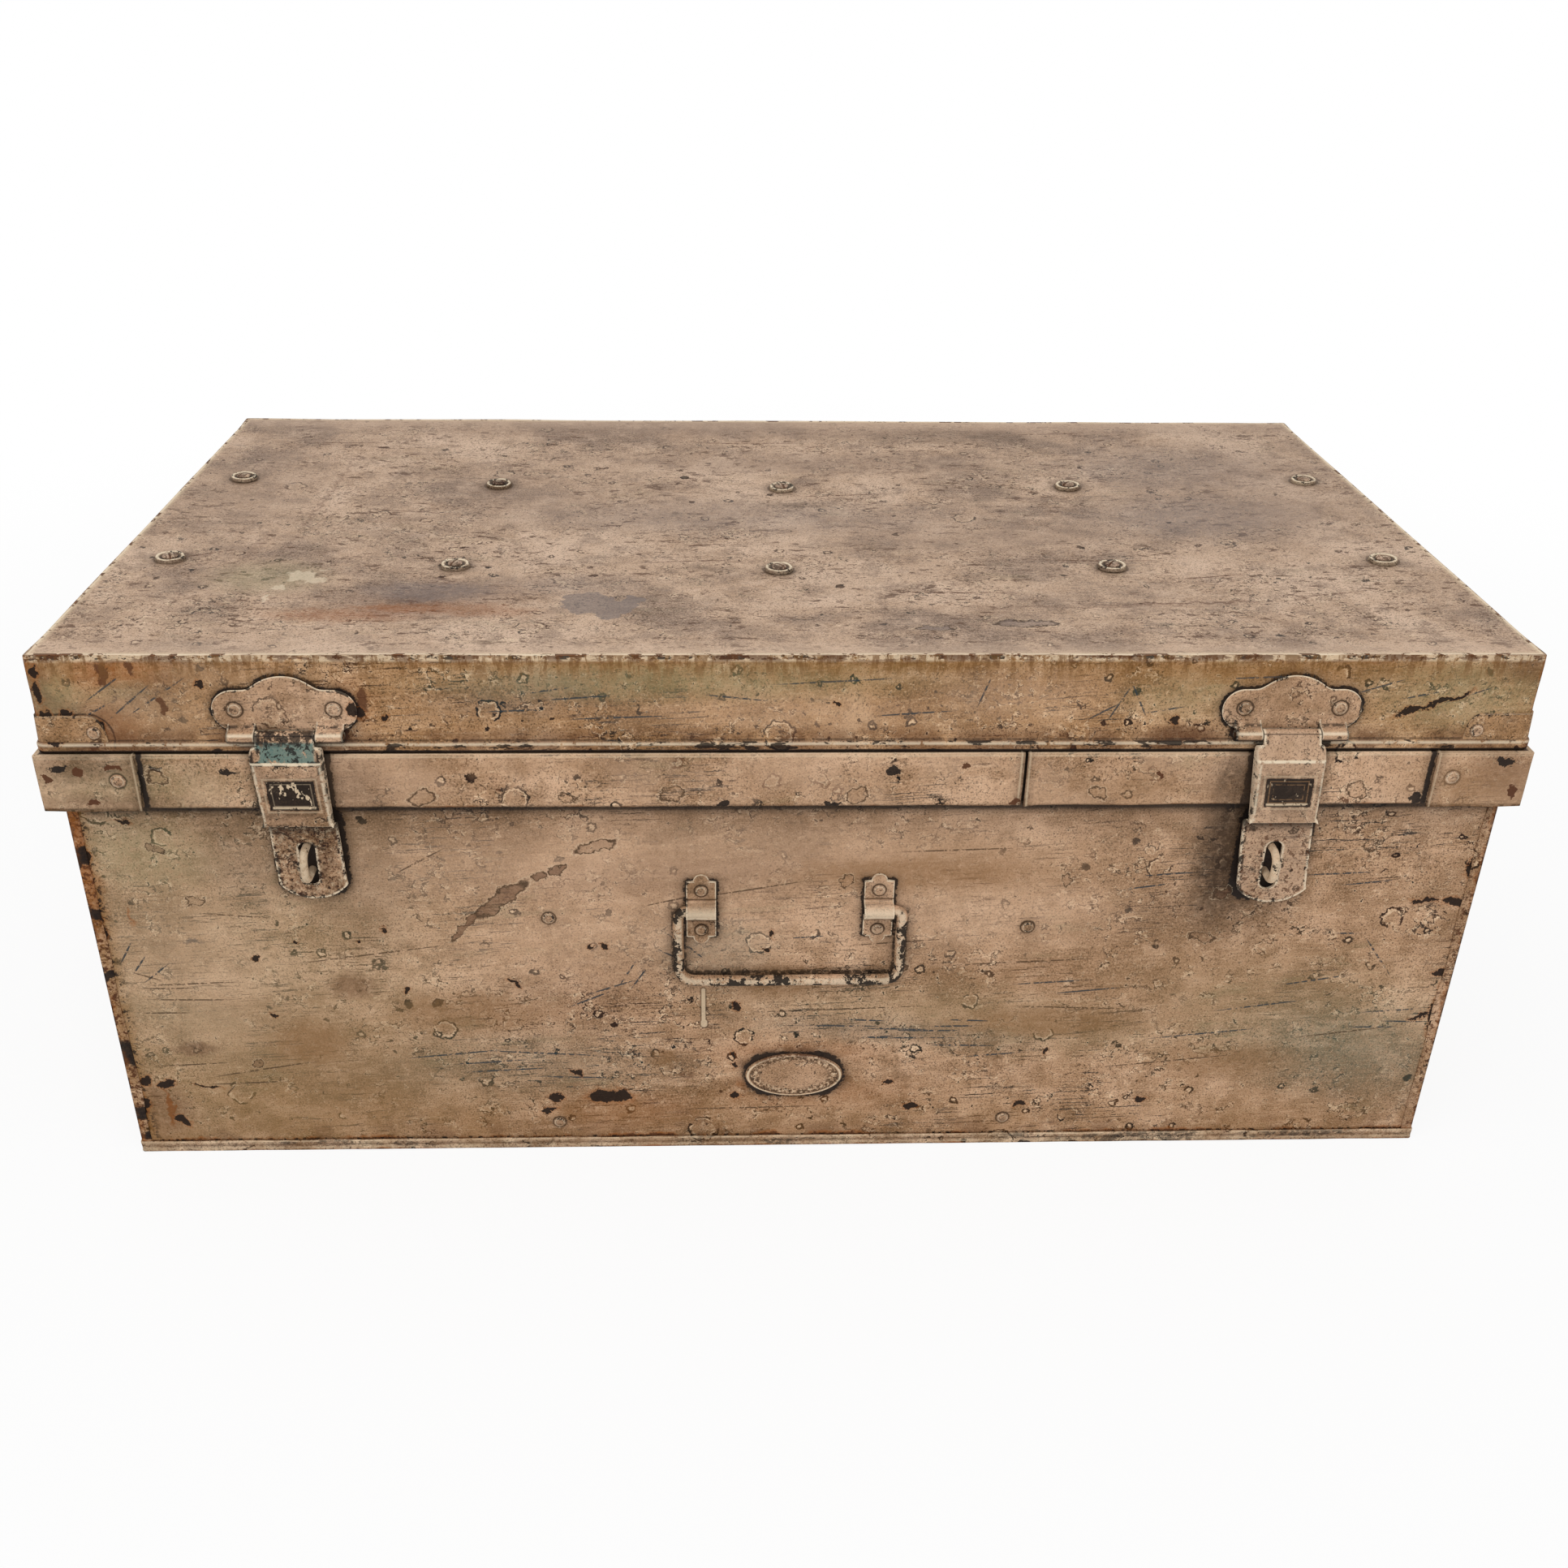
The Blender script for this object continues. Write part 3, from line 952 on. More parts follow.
def build_body_side(kit):
    """The end and back walls: rusty corners, and rust on the lap at the left end."""
    c = kit["colours"]
    w = Paintwork("body_side_paint", kit, "side")
    net = w.net
    w.blend(net.ramp(w.z, 208, 234), c.grime, 0.3)
    w.blend(net.ramp(w.z, 228, 233.5), c.black, 0.6)
    w.blend((net.ramp(w.z, 45, 8), w.patches(0.03, 0.38, 0.62)), c.rust_dark, 0.4)
    corner_x = net.size(net.less(WALL_X, net.size(w.x)))
    corner_y = net.size(net.less(203.4, net.size(w.y)))
    seam = net.most(corner_x, corner_y)
    left = net.ramp(w.x, -100, -200)
    w.blend((net.ramp(seam, 9, 3), w.fleck(0.3, 0.6, 0.4, 1), net.plus(net.times(left, 0.7), 0.1)), c.ochre, 0.8)
    w.blend((net.ramp(seam, 14, 2), w.fleck(0.55, 0.59)), c.rust_dark, 0.9)
    lap = net.times(left, net.ramp(w.y, -195, -199))
    w.blend((lap, net.ramp(w.z, 130, 200), w.fleck(0.3, 0.5, 0.4, 1)), c.rust, 0.7)
    w.blend((lap, w.fleck(0.5, 0.56)), c.rust_dark, 0.8)
    bitten = ((72, 9), (28, 5), (168, 4), (128, 3), (205, 6), (12, 3))
    w.spots([(-204, z, 6, tall) for z, tall in bitten], c.black, 0.95, within=lap)
    w.edge_rust(seam, 3, 0.6, 1, 0.5)
    w.edge_rust(net.less(w.z, 7.4), 2.6, 0.85, 0.8, 0.52)
    return w.finish()


def build_hem(kit):
    """The folded hem: two rubbed ridges, dirt between them and black runs."""
    c = kit["colours"]
    w = Paintwork("hem_paint", kit, Main=c.body_light, Light=c.cream, Dark=c.body, Chips=0.1, Grime=0.3)
    net = w.net
    w.blend(net.near(w.z, 4.3, 1.3), c.grime, 0.5)
    w.blend((net.near(w.z, 6.9, 0.8), w.fleck(0.4, 0.5)), c.cream, 0.8)
    w.blend((net.near(w.z, 2.2, 1), w.fleck(0.4, 0.5)), c.cream, 0.5)
    w.blend(w.patches(0.04, 0.42, 0.6), c.mottle, 0.35)
    w.edge_rust(w.z, 1.4, 0.9, 0.9, 0.52)
    dark_run = net.times(net.ramp(w.stretched((0.25, 1, 1), 0.09, 3, 0.6), 0.57, 0.61), net.ramp(w.z, 8, 7))
    w.blend((dark_run, w.fleck(0.44, 0.52)), c.black, 0.65, sink=0.5)
    within = net.times(
        net.ramp(net.size(w.x), WALL_X - 1, WALL_X - 2), net.ramp(net.size(w.y), WALL_Y - 1, WALL_Y - 2)
    )
    w.blend((within, net.ramp(w.z, 0.3, 0.6)), net.mix(w.patches(0.04, 0.4, 0.62), c.inner, c.body_dark), 0.9)
    return w.finish()


def build_band(kit, name, flat):
    """The band: rings in the paint, a rusty foot, dirt at its seam and corner pieces."""
    c = kit["colours"]
    w = Paintwork(name + "_paint", kit, flat, Streaks=0.9, Chips=0.085)
    net = w.net
    rings = net.group(kit["rings"], Place=w.loose, Spacing=22, Least=2, Most=5.5, Share=0.5, Width=0.75, Open=0)
    w.blend(rings["Line"], c.rust_dark, 0.85)
    w.blend(rings["Lip"], c.cream, 0.35)
    w.blend(w.patches(0.02, 0.4, 0.6), c.body_light, 0.45)
    w.edge_rust(net.less(w.z, BAND_FOOT), 1.3, 0.8, 0.8, 0.53)
    w.blend(net.ramp(w.z, 239.2, 237.6), c.grime, 0.5)
    w.blend(net.near(w.z, 267.3, 1.1), c.cream, 0.4)
    inward = net.times(net.ramp(net.size(w.y), 208.6, 207.6), net.ramp(net.size(w.x), 384.7, 383.7))
    w.blend((net.ramp(w.z, 267.6, 268.4), inward), c.black, 0.9)
    w.blend((net.ramp(w.z, 268.1, 268.5), net.less(1, inward)), c.cream, 0.5)
    if flat == "front":
        w.rivet_rings([(-CORNER_RIVET[0], CORNER_RIVET[2]), (CORNER_RIVET[0], CORNER_RIVET[2])], 4, 0.85)
        for x, half_x in ((-257.3, 19), (256.5, 19)):
            w.surround(w.outline((x, 252), (half_x, 26), 2, 2.4), 1.6, 8, 0.8, 0.4)
        w.clouds(
            ("olive", (-340, 250, 50, 16, 0, 0.35)),
            ("grime", (-362, 262, 24, 9, 0, 0.55), (-225, 250, 14, 14, 0, 0.4), (225, 250, 14, 14, 0, 0.4)),
            ("rust_dark", (-350, 240, 30, 6, 0, 0.5), (372, 258, 14, 12, 0, 0.5)),
            ("body_dark", (355, 250, 34, 16, 0, 0.6), (180, 248, 40, 12, 0, 0.4), (-150, 262, 60, 5, 0, 0.4)),
            ("black", (231, 252, 9, 20, 0, 0.5)),
        )
        seam = net.size(net.less(w.x, BAND_SPLIT))
        w.blend(net.fade(seam, 0.6, 7), c.grime, 0.5)
        w.blend(net.near(seam, 2.2, 1), c.cream, 0.5)
        cap = net.less(net.size(w.x), 335)
        uneven = net.plus(cap, net.times(net.less(w.flecks, 0.5), 3))
        w.blend(net.fade(net.size(uneven), 1, 8), c.grime, 0.45)
        w.blend(net.fade(net.size(net.plus(uneven, 1.3)), 1.1, 1.9), c.black, 0.95)
        w.blend(net.near(cap, 1.8, 0.9), c.cream, 0.4)
        for x, z, along, across in (
            (-374, 262, 3.4, 2.6), (-366, 260, 2.6, 2), (-380, 255, 2, 2), (328.5, 241, 4, 3.4), (-348, 262, 3, 1.6),
            (51, 259, 3.4, 2.4), (-37, 239.4, 3.4, 2), (-326, 261, 3.6, 1.6), (89, 261, 2.6, 2), (191, 256, 1.8, 1.8),
            (-360, 241, 3, 2), (-290, 259, 4, 1.6), (20, 238.6, 4, 1.4), (117.5, 240, 3, 2.4), (262, 238.5, 5, 1.4),
            (372, 264, 5, 2.4), (380, 246, 2.4, 5),
        ):
            w.spots([(x, z, along, across)], c.black if along > 3.2 else c.rust_dark, 0.95, 0.95, 1.1)
        for x, z, along, across, turn in (
            (-193, 243, 7, 4, 20), (-326, 256, 5, 5, 0), (34, 244, 6, 4, 10), (-118, 243, 5, 3, 0), (296, 246, 6, 5, 0),
            (160, 245, 5, 4, 0), (-64, 245, 6, 4, 0),
        ):
            w.stain((x, z), (along, across), turn, c.body_dark, 0.1, 0.6)
    else:
        w.rivet_rings([(-CORNER_RIVET[1], CORNER_RIVET[2]), (CORNER_RIVET[1], CORNER_RIVET[2])], 4)
    return w.finish()


def build_lid_wall(kit, name, flat):
    """The lid wall: dirt round the hasp plates, runs below the fold, rust at its rolled lower edge."""
    c = kit["colours"]
    w = Paintwork(name + "_paint", kit, flat, Main=c.lid, Light=c.lid_light, Dark=c.lid_dark, Tilt=0.07, Chips=0.09)
    net = w.net
    if flat == "front":
        w.clouds(
            ("ink", (-135, 301, 44, 11, 4, 0.4), (-150, 296, 20, 5, 0, 0.45), (-327, 302, 34, 9, 32, 0.3)),
            ("lid_light", (-330, 290, 40, 14, 0, 0.5), (-290, 312, 30, 6, 0, 0.4)),
            ("ochre", (60, 317, 120, 4, 0, 0.6), (250, 314, 120, 6, 0, 0.5), (-120, 318, 70, 4, 0, 0.6)),
            (
                "olive", (-60, 308, 100, 9, 0, 0.5), (345, 300, 44, 18, 0, 0.45), (-372, 300, 12, 26, 0, 0.55),
                (200, 300, 30, 10, 0, 0.35),
            ),
            (
                "rust", (-340, 314, 26, 7, 0, 0.55), (-376, 316, 10, 7, 0, 0.5), (-225, 297, 10, 12, 0, 0.45),
                (-345, 283, 16, 8, 0, 0.4),
            ),
            (
                "rust_dark", (-366, 284, 22, 11, 0, 0.7), (-377, 300, 6, 26, 0, 0.5), (200, 278, 16, 5, 0, 0.6),
                (372, 316, 14, 8, 0, 0.5),
            ),
            ("body_light", (0, 290, 80, 10, 0, 0.35), (110, 300, 40, 14, 0, 0.4)),
        )
        for hasp in HASPS.values():
            lobes = w.outline((hasp["x"], PLATE_HEIGHT - 0.8), (PLATE_HALF, 11.2), 11.2, 2.6)
            hump = w.outline((hasp["x"], PLATE_HEIGHT - 4), (22, 22), 22, 2.6)
            neck = w.outline((hasp["x"], 281), (29.5, 4), 1, 2)
            distance = net.least(lobes, hump, neck)
            w.surround(distance, 1.6, 7, 0.95, 0.45)
        w.chips(
            (-376.5, 287, 3.6, 5, 0), (-374, 277, 6, 2, 0), (-353, 281.5, 3.6, 3.2, 0), (-378, 303, 2.4, 6, 0),
            (-366, 290, 3, 1.6, 0), (-378, 314, 3, 2.6, 0), (-298, 306, 2, 1.6, 0), (317, 291, 7, 1.6, 22),
            (334, 297, 14, 1.4, 18), (-220.5, 291, 3.2, 3.4, 0), (356, 287, 1.5, 1.5, 0), (-207, 289, 2.4, 2, 0),
            (196, 286, 2, 2.4, 0), (20, 295, 1.6, 1.4, 0),
        )
        rusty = ((-345, 312, 2.4, 6), (-330, 316, 2, 4), (-318, 295, 3, 4.4), (-217, 299, 2.6, 7), (-354, 274, 3, 3))
        w.spots(rusty, c.rust_dark, 0.85)
        w.scratches([
            (166, 296, 12, 62), (176, 297, 11, -64), (158, 291, 8, 30), (190, 292, 10, 10), (96, 302, 9, 70),
            (60, 290, 20, 4), (300, 305, 12, 18), (322, 300, 10, 12), (346, 300, 12, 20), (-110, 299, 16, 4),
            (-126, 303, 12, 8), (-142, 292, 14, 2), (-320, 300, 18, 34), (-334, 297, 14, 40), (-345, 305, 12, 36),
            (-352, 292, 10, 30), (-90, 288, 24, 2), (20, 308, 30, 3), (240, 310, 20, 2), (-30, 299, 16, -6),
        ], c.ink, 0.85, 0.5)
        plate = w.outline((-372.6, 275), (27.6, 14.9), 12, 2)
        w.blend((net.near(plate, 0.5, 0.9), w.patches(0.06, 0.42, 0.5)), c.black, 0.8)
    fold = net.less(321.6, w.z)
    w.edge_rust(fold, 2.2, 0.4, 0.5, 0.46)
    w.blend((net.ramp(fold, 3.6, 1.6), w.fleck(0.36, 0.46)), c.cream, 0.75)
    nicks = net.ramp(w.stretched((0.5, 0.5, 1), 0.2, 4, 0.7), 0.54, 0.57)
    w.blend((nicks, net.ramp(fold, 2.2, 1.2)), c.black, 0.9)
    runs = w.stretched((0.3, 0.3, 0.07), 1, 4, 0.65)
    w.blend((net.ramp(runs, 0.5, 0.58), net.ramp(fold, 15, 2), w.fleck(0.36, 0.52)), c.rust_dark, 0.6)
    w.blend((net.ramp(runs, 0.48, 0.54), net.ramp(fold, 22, 0)), c.ochre, 0.35)
    crust = net.ramp(w.stretched((0.5, 0.5, 1.4), 0.16, 4, 0.7), 0.49, 0.55)
    w.blend((crust, net.ramp(fold, 5.5, 0)), c.rust_dark, 0.75, 0.8)
    corner_x = net.size(net.less(382.5, net.size(w.x)))
    corner_y = net.size(net.less(205.5, net.size(w.y)))
    w.edge_rust(net.most(corner_x, corner_y), 3, 0.85, 0.7, 0.52)
    w.blend((net.ramp(w.z, 286, 276), w.patches(0.05, 0.36, 0.56)), c.rust_dark, 0.55)
    w.blend((net.near(w.z, 275.6, 0.9), w.fleck(0.36, 0.48)), c.black, 0.6)
    w.blend((net.near(w.z, 273.9, 1.4), w.fleck(0.34, 0.44)), c.pale, 0.6)
    chipped = net.times(net.ramp(w.stretched((0.3, 0.3, 1), 0.15, 4, 0.7), 0.56, 0.59), net.ramp(w.z, 275.4, 274.9))
    w.blend(chipped, c.black, 0.9, 0.8, 0.5)
    w.blend(net.ramp(w.z, 271, 270.3), c.black, 0.95)
    return w.finish()


def build_top(kit):
    """The top: dashes and scales in the paint, stains, scratches and a rubbed rim."""
    c = kit["colours"]
    w = Paintwork(
        "top_paint", kit, "top", ragged=1.5, Main=c.top, Light=c.top_light, Dark=c.top_dark, Tilt=0, Depth=0.5,
        Streaks=0.4, Wrinkles=0.9, Blisters=0.8, Speckle=0.95,
    )
    net = w.net
    dashes = w.stretched((0.4, 0.9, 1), 0.2, 4, 0.65)
    dirt = net.mix(0.55, c.grime, c.rust_dark)
    w.blend((net.ramp(dashes, 0.59, 0.62), w.patches(0.02, 0.4, 0.55)), dirt, 0.75, sink=0.3)
    scales = w.stretched((0.8, 1.1, 1), 0.45, 3, 0.7)
    w.blend((net.ramp(scales, 0.57, 0.61), w.patches(0.025, 0.44, 0.56)), dirt, 0.65)
    w.blend(net.ramp(dashes, 0.42, 0.34), c.top_light, 0.3)
    w.clouds(
        (
            "rust_dark", (-196, -124, 50, 24, 12, 0.5, 0.7), (218, -129.5, 52, 1.8, 2, 0.6, 0.5),
            (150, -134, 60, 1.6, 0, 0.35, 0.5), (-289, 40, 1.6, 90, -2, 0.4, 0.5), (-310, -60, 3, 40, -4, 0.25, 0.6),
        ),
        (
            "lilac", (-196, -112, 34, 14, 0, 0.6, 0.5), (266, 13, 62, 38, 0, 0.6, 0.7),
            (269, 102, 60, 40, 0, 0.45, 0.8), (-30, 20, 120, 26, 0, 0.4, 0.8), (-120, -100, 40, 14, 0, 0.3, 0.8),
        ),
        (
            "rust", (-170, -140, 34, 9, -8, 0.35, 0.6), (-240, -150, 34, 9, 0, 0.45, 0.6),
            (-208, -138, 26, 6, 0, 0.5, 0.5),
        ),
        (
            "top_dark", (20, 120, 130, 18, 0, 0.5, 0.7), (120, -20, 80, 22, 0, 0.4, 0.8),
            (-160, 60, 80, 40, 0, 0.3, 0.9), (320, 60, 60, 90, 0, 0.35, 0.8), (-340, 60, 40, 90, 0, 0.35, 0.8),
            (0, 190, 380, 20, 0, 0.5, 0.8),
        ),
        ("grime", (128, 172, 60, 16, 0, 0.35, 0.7), (11, 41, 18, 5, 0, 0.45, 0.6), (-42, -71, 16, 4, 0, 0.4, 0.6)),
        ("olive", (-290, -95, 28, 22, 0, 0.4, 0.6)),
    )
    for x, y, along, across, fill, line in (
        (-111, -126, 13, 19, 0.7, 0), (-97, -136, 12, 16, 0.7, 0), (-86, -124, 6, 9, 0.7, 0),
        (74, -166, 11, 4, 0.5, 0.4), (124, -158, 18, 6, 0.4, 0.4), (-178, -110, 15, 10, 0.2, 0),
        (-206, -116, 13, 9, 0.2, 0),
    ):
        w.stain((x, y), (along, across), 0, c.lilac, fill, line)
    w.scratches([
        (-300, 150, 30, 3), (-150, 170, 24, -4), (40, 60, 30, 5), (180, -60, 40, -3), (240, -90, 24, 6),
        (-60, -60, 30, 8), (90, -110, 36, -2), (300, -120, 20, 10), (-330, -60, 20, 30), (-20, 160, 40, 0),
        (200, 180, 30, 4), (-230, 20, 30, -5),
    ], c.rust_dark, 0.7, 0.8)
    rubbed = ((-273, -92, 8, 7), (-264, -98, 6, 5), (-280, -110, 4, 4), (-284, -126, 2, 5), (-262, -84, 4, 2))
    w.spots(rubbed, c.pale, 0.45)
    screws = net.least(*[w.outline(place, (WASHER, WASHER), WASHER, 2.4) for place in SCREWS])
    w.blend(net.fade(screws, 0, 9), c.grime, 0.4)
    w.blend(net.fade(screws, 0.8, 1.8), c.grime, 0.6)
    rim_x = net.less(LID_X, net.size(w.x))
    rim_y = net.less(LID_Y, net.size(w.y))
    rim = net.least(rim_x, rim_y)
    w.blend(net.ramp(rim_y, 26, 2), c.top_light, 0.45)
    w.blend(net.ramp(rim, 5, 0.5), c.cream, 0.7)
    w.blend(net.ramp(rim, 2.2, 1.2), c.pale, 0.7)
    nicks = net.ramp(w.stretched((0.5, 0.5, 1), 0.2, 4, 0.7), 0.54, 0.57)
    w.blend((nicks, net.ramp(rim, 2.6, 1.6)), c.rust_dark, 0.9, 0.8, 0.5)
    w.edge_rust(rim, 0.7, 0.5, 0.4, 0.46)
    return w.finish()


def dress_bail(w):
    """The bail: paint handled away where it is gripped."""
    c, net = w.colours, w.net
    worn = net.attribute("wear")
    w.blend((net.ramp(w.y, -208.3, -209.3), w.fleck(0.4, 0.5)), c.pale, 0.45)
    rubbed = (
        (-60, 140, 6, 11), (-20, 124, 20, 4), (40, 123.6, 10, 3.4), (59, 148, 6, 15), (-59, 171, 4, 4), (60, 128, 7, 5),
        (-34, 123, 9, 3),
    )
    handled = net.most(*[net.ramp(w.reach(mark[:2], mark[2:], loose=False), 1.7, 0.7) for mark in rubbed])
    bitten = net.plus(
        net.noise(w.place, 0.2, 4, 0.7), net.plus(net.times(handled, 0.12), net.times(net.less(worn, 0.5), 0.12)),
    )
    bitten = net.less(bitten, net.ramp(net.size(w.x), 200, 220, 0, 0.05))
    w.blend(net.ramp(net.size(w.x), 200, 220), c.cream, 0.5)
    w.blend(net.ramp(bitten, 0.555, 0.575), c.cream, 0.4)
    w.blend(net.ramp(bitten, 0.58, 0.6), c.black, 0.96, 0.7, 0.6)


def dress_plates(w):
    """Hasp plates and handle brackets: dirt round their rivets, and light and dark along their rolled parts."""
    c, net = w.colours, w.net
    w.rivet_rings([(h["x"] + s, PLATE_HEIGHT) for h in HASPS.values() for s in (-PLATE_RIVET, PLATE_RIVET)], 3.9, 0.85)
    w.rivet_rings([(x, z) for x in BRACKETS.values() for z in BRACKET_RIVETS], 3.4, 0.85)
    w.chips((-222.5, 293, 3, 4, 0))
    for hasp in HASPS.values():
        across = net.size(net.less(w.x, hasp["x"]))
        ear = net.times(net.ramp(across, 14.6, 15.2), net.ramp(across, 40, 36))
        w.blend((ear, net.near(w.z, 281.9, 1.2)), c.pale, 0.75)
        w.blend((ear, net.ramp(w.z, 279.6, 278)), c.black, 0.92)
        w.blend((ear, net.near(w.z, 284.6, 1.3), w.fleck(0.4, 0.5)), c.black, 0.8)
        w.blend((net.ramp(across, 27.6, 28.6), net.near(across, 29.5, 2.5), net.ramp(w.z, 284, 283)), c.black, 0.85)
        w.blend((net.near(across, EAR[0], 0.8), net.ramp(w.z, 284.5, 283.5)), c.black, 0.85)
    arch = net.math("LESS_THAN", net.size(w.x), 60)
    w.blend((net.near(w.z, 170, 5.5), arch), c.pale, 0.55)
    w.blend((net.near(w.z, 167.4, 1.6), arch, w.fleck(0.36, 0.46)), c.pale, 0.7)
    w.blend((net.ramp(w.z, 165.2, 164.4), net.ramp(w.z, 160.6, 163), arch), c.black, 0.85)
    w.blend((net.near(w.z, 175.8, 1), arch), c.grime, 0.8)


def dress_badge(w):
    """The oval plate: a mottled border and a rubbed rim."""
    c, net = w.colours, w.net
    rim = w.reach(BADGE, BADGE_HALF, loose=False)
    flecks = net.noise(w.place, 0.6, 3, 0.7)
    border = net.times(net.ramp(rim, 0.6, 0.8), net.ramp(rim, 0.93, 0.89))
    w.blend((border, net.ramp(flecks, 0.45, 0.55)), c.grime, 0.85)
    w.blend((border, net.ramp(flecks, 0.45, 0.38)), c.cream, 0.7)
    w.blend(net.near(rim, 0.9, 0.025), c.grime, 0.8)
    w.blend((net.near(rim, 0.955, 0.03), net.ramp(flecks, 0.36, 0.46)), c.cream, 0.7)
    w.blend((net.ramp(rim, 0.9, 0.95), net.ramp(w.z, 60, 66), w.fleck(0.4, 0.5)), c.rust_dark, 0.8)


def dress_hasp(w, hand):
    """A hasp: its sunk blank panel, the folds above and below it, and the worn tongue."""
    c, net = w.colours, w.net
    left, hasp = hand == "left", HASPS[hand]
    lean = (hasp["foot"] - hasp["x"]) / (HASP_AXIS[1] - hasp["bottom"])
    across = net.less(net.less(w.x, hasp["x"]), net.times(net.less(HASP_AXIS[1], w.z), lean))
    beside = net.size(across)
    below = net.size(net.less(w.z, 249.4))
    blank = net.most(net.less(beside, 12.3), net.less(below, 8.9))
    ragged = net.plus(blank, net.times(net.less(w.flecks, 0.5), 1.6))
    sparse = w.stretched((1.4, 1, 0.9), 0.2, 3, 0.6)
    smudge = net.times(net.ramp(blank, 9, 0), net.ramp(w.patches(0.12, 0.4, 0.6), 0.2, 0.8))
    w.blend(smudge, c.grime, 0.5)
    w.blend(net.near(blank, 1.2, 0.9), c.cream, 0.35)
    w.blend(net.ramp(ragged, 0.3, -0.2), c.black, 0.94, 0.7)
    inner = net.times(net.near(blank, -2.2, 0.5), w.fleck(0.36, 0.46))
    w.blend(inner, c.cream if left else c.body_dark, 0.25 if left else 0.6)
    if not left:
        w.blend((net.near(blank, -4.3, 0.5), w.fleck(0.44, 0.54)), c.body_dark, 0.5)
    w.blend(
        (net.ramp(blank, -0.3, -0.9), net.ramp(sparse, 0.58 if left else 0.64, 0.6 if left else 0.67)), c.cream,
        0.85 if left else 0.4,
    )
    sill = net.times(net.near(w.z, 241.8, 1), net.ramp(beside, 11.4, 10.6))
    w.blend((sill, w.fleck(0.36, 0.46)), c.cream, 0.85)
    w.blend(net.near(w.z, 281.8, 0.45), c.black, 0.8)
    shade = net.times(net.ramp(w.z, 219, 226.2), net.ramp(w.z, 229.5, 228.5))
    w.blend(shade, c.black, 0.85)
    spots = net.noise(w.place, 0.42, 3, 0.7)
    low = net.ramp(w.z, 229, 227)
    if left:
        slope = net.times(net.ramp(w.z, 268.9, 269.6), net.ramp(w.z, 279.6, 278), net.ramp(beside, 15.6, 13.6))
        bare = net.noise(w.place, 0.12, 4, 0.65)
        w.blend((slope, net.ramp(bare, 0.38, 0.46)), c.sea, 0.85, 0.45)
        w.blend((slope, w.fleck(0.52, 0.56)), c.black, 0.9)
        upper = net.times(net.ramp(w.z, 276, 278.6), net.ramp(sparse, 0.44, 0.5))
        w.blend(upper, c.black, 0.85)
        w.blend((low, net.ramp(spots, 0.53, 0.59)), c.rust_dark, 0.65)
        w.blend((low, net.ramp(spots, 0.6, 0.64)), c.black, 0.8)
        w.blend((low, net.ramp(spots, 0.44, 0.36)), c.cream, 0.35)
    else:
        w.blend((low, net.ramp(spots, 0.56, 0.6)), c.rust_dark, 0.7)
    edge = net.times(net.ramp(w.z, 231, 232), net.ramp(w.z, 268, 267), net.near(beside, 16.6, 1.2))
    w.blend((edge, w.fleck(0.4, 0.48)), c.pale, 0.7)
    w.blend((net.near(w.z, 268.5, 1), w.fleck(0.34, 0.44)), c.pale, 0.9)


def build_fitting(kit, name, main, light, dark, chips, grime, rub, chip_level, speckle=1):
    """Paint of a small fitting, with rubbed edges and what belongs to that fitting alone."""
    c = kit["colours"]
    w = Paintwork(
        name + "_paint", kit, Main=main, Light=light, Dark=dark, Streaks=0.3, Wrinkles=0.9, Blisters=0.6, Chips=chips,
        Grime=grime, Speckle=speckle, Fine=1.3,
    )
    if name == "bail":
        dress_bail(w)
    else:
        wear_layers(w, rub, chip_level)
    if name == "plate":
        dress_plates(w)
    if name in ("screw", "washer", "rivet"):
        hollow = w.net.attribute("blank")
        w.blend(hollow, c.rust_dark if name == "screw" else c.black, 0.85)
    if name == "badge":
        dress_badge(w)
    if name.startswith("hasp"):
        dress_hasp(w, name[5:])
    return w.finish()


def build_steel(kit):
    """Dark steel of the pins."""
    c = kit["colours"]
    w = Paintwork("steel_paint", kit, Main=c.grime, Light=c.rust_dark, Dark=c.black, Streaks=0.2, Wrinkles=0.3)
    w.metal = 0.4
    return w.finish()


def build_inner(kit):
    """Dull paint of the inside."""
    c = kit["colours"]
    w = Paintwork(
        "inner_paint", kit, Main=c.inner, Light=c.body_dark, Dark=c.grime, Streaks=0.5, Wrinkles=0.2, Blisters=0.4,
        Speckle=0.6,
    )
    return w.finish()


def build_wood(kit):
    """Sawn wood: grain lines stretched along X in two tones, with saw marks across."""
    colours = kit["colours"]
    finish = bpy.data.materials.new("batten_wood")
    net = fresh_net(finish)
    place = net.vector("SCALE", net.node("ShaderNodeTexCoord", {}, "Object"), 1000)
    grain = net.noise(net.vector("MULTIPLY", place, (0.01, 0.35, 0.35)), 1, 5, 0.65, 0.6)
    saw = net.noise(net.vector("MULTIPLY", place, (0.5, 0.02, 0.02)), 1, 2)
    colour = net.mix(net.ramp(grain, 0.35, 0.65), colours.grime, colours.wood)
    colour = net.mix(net.ramp(saw, 0.55, 0.75, 0, 0.08), colour, colours.cream)
    height = net.plus(net.times(grain, 0.9), net.times(saw, 0.1))
    normal = net.node("ShaderNodeBump", {"Height": height, "Distance": 0.0006, "Strength": 0.5})
    net.principled(Base_Color=colour, Roughness=net.ramp(grain, 0.3, 0.7, 0.85, 0.7), Normal=normal)
    return finish


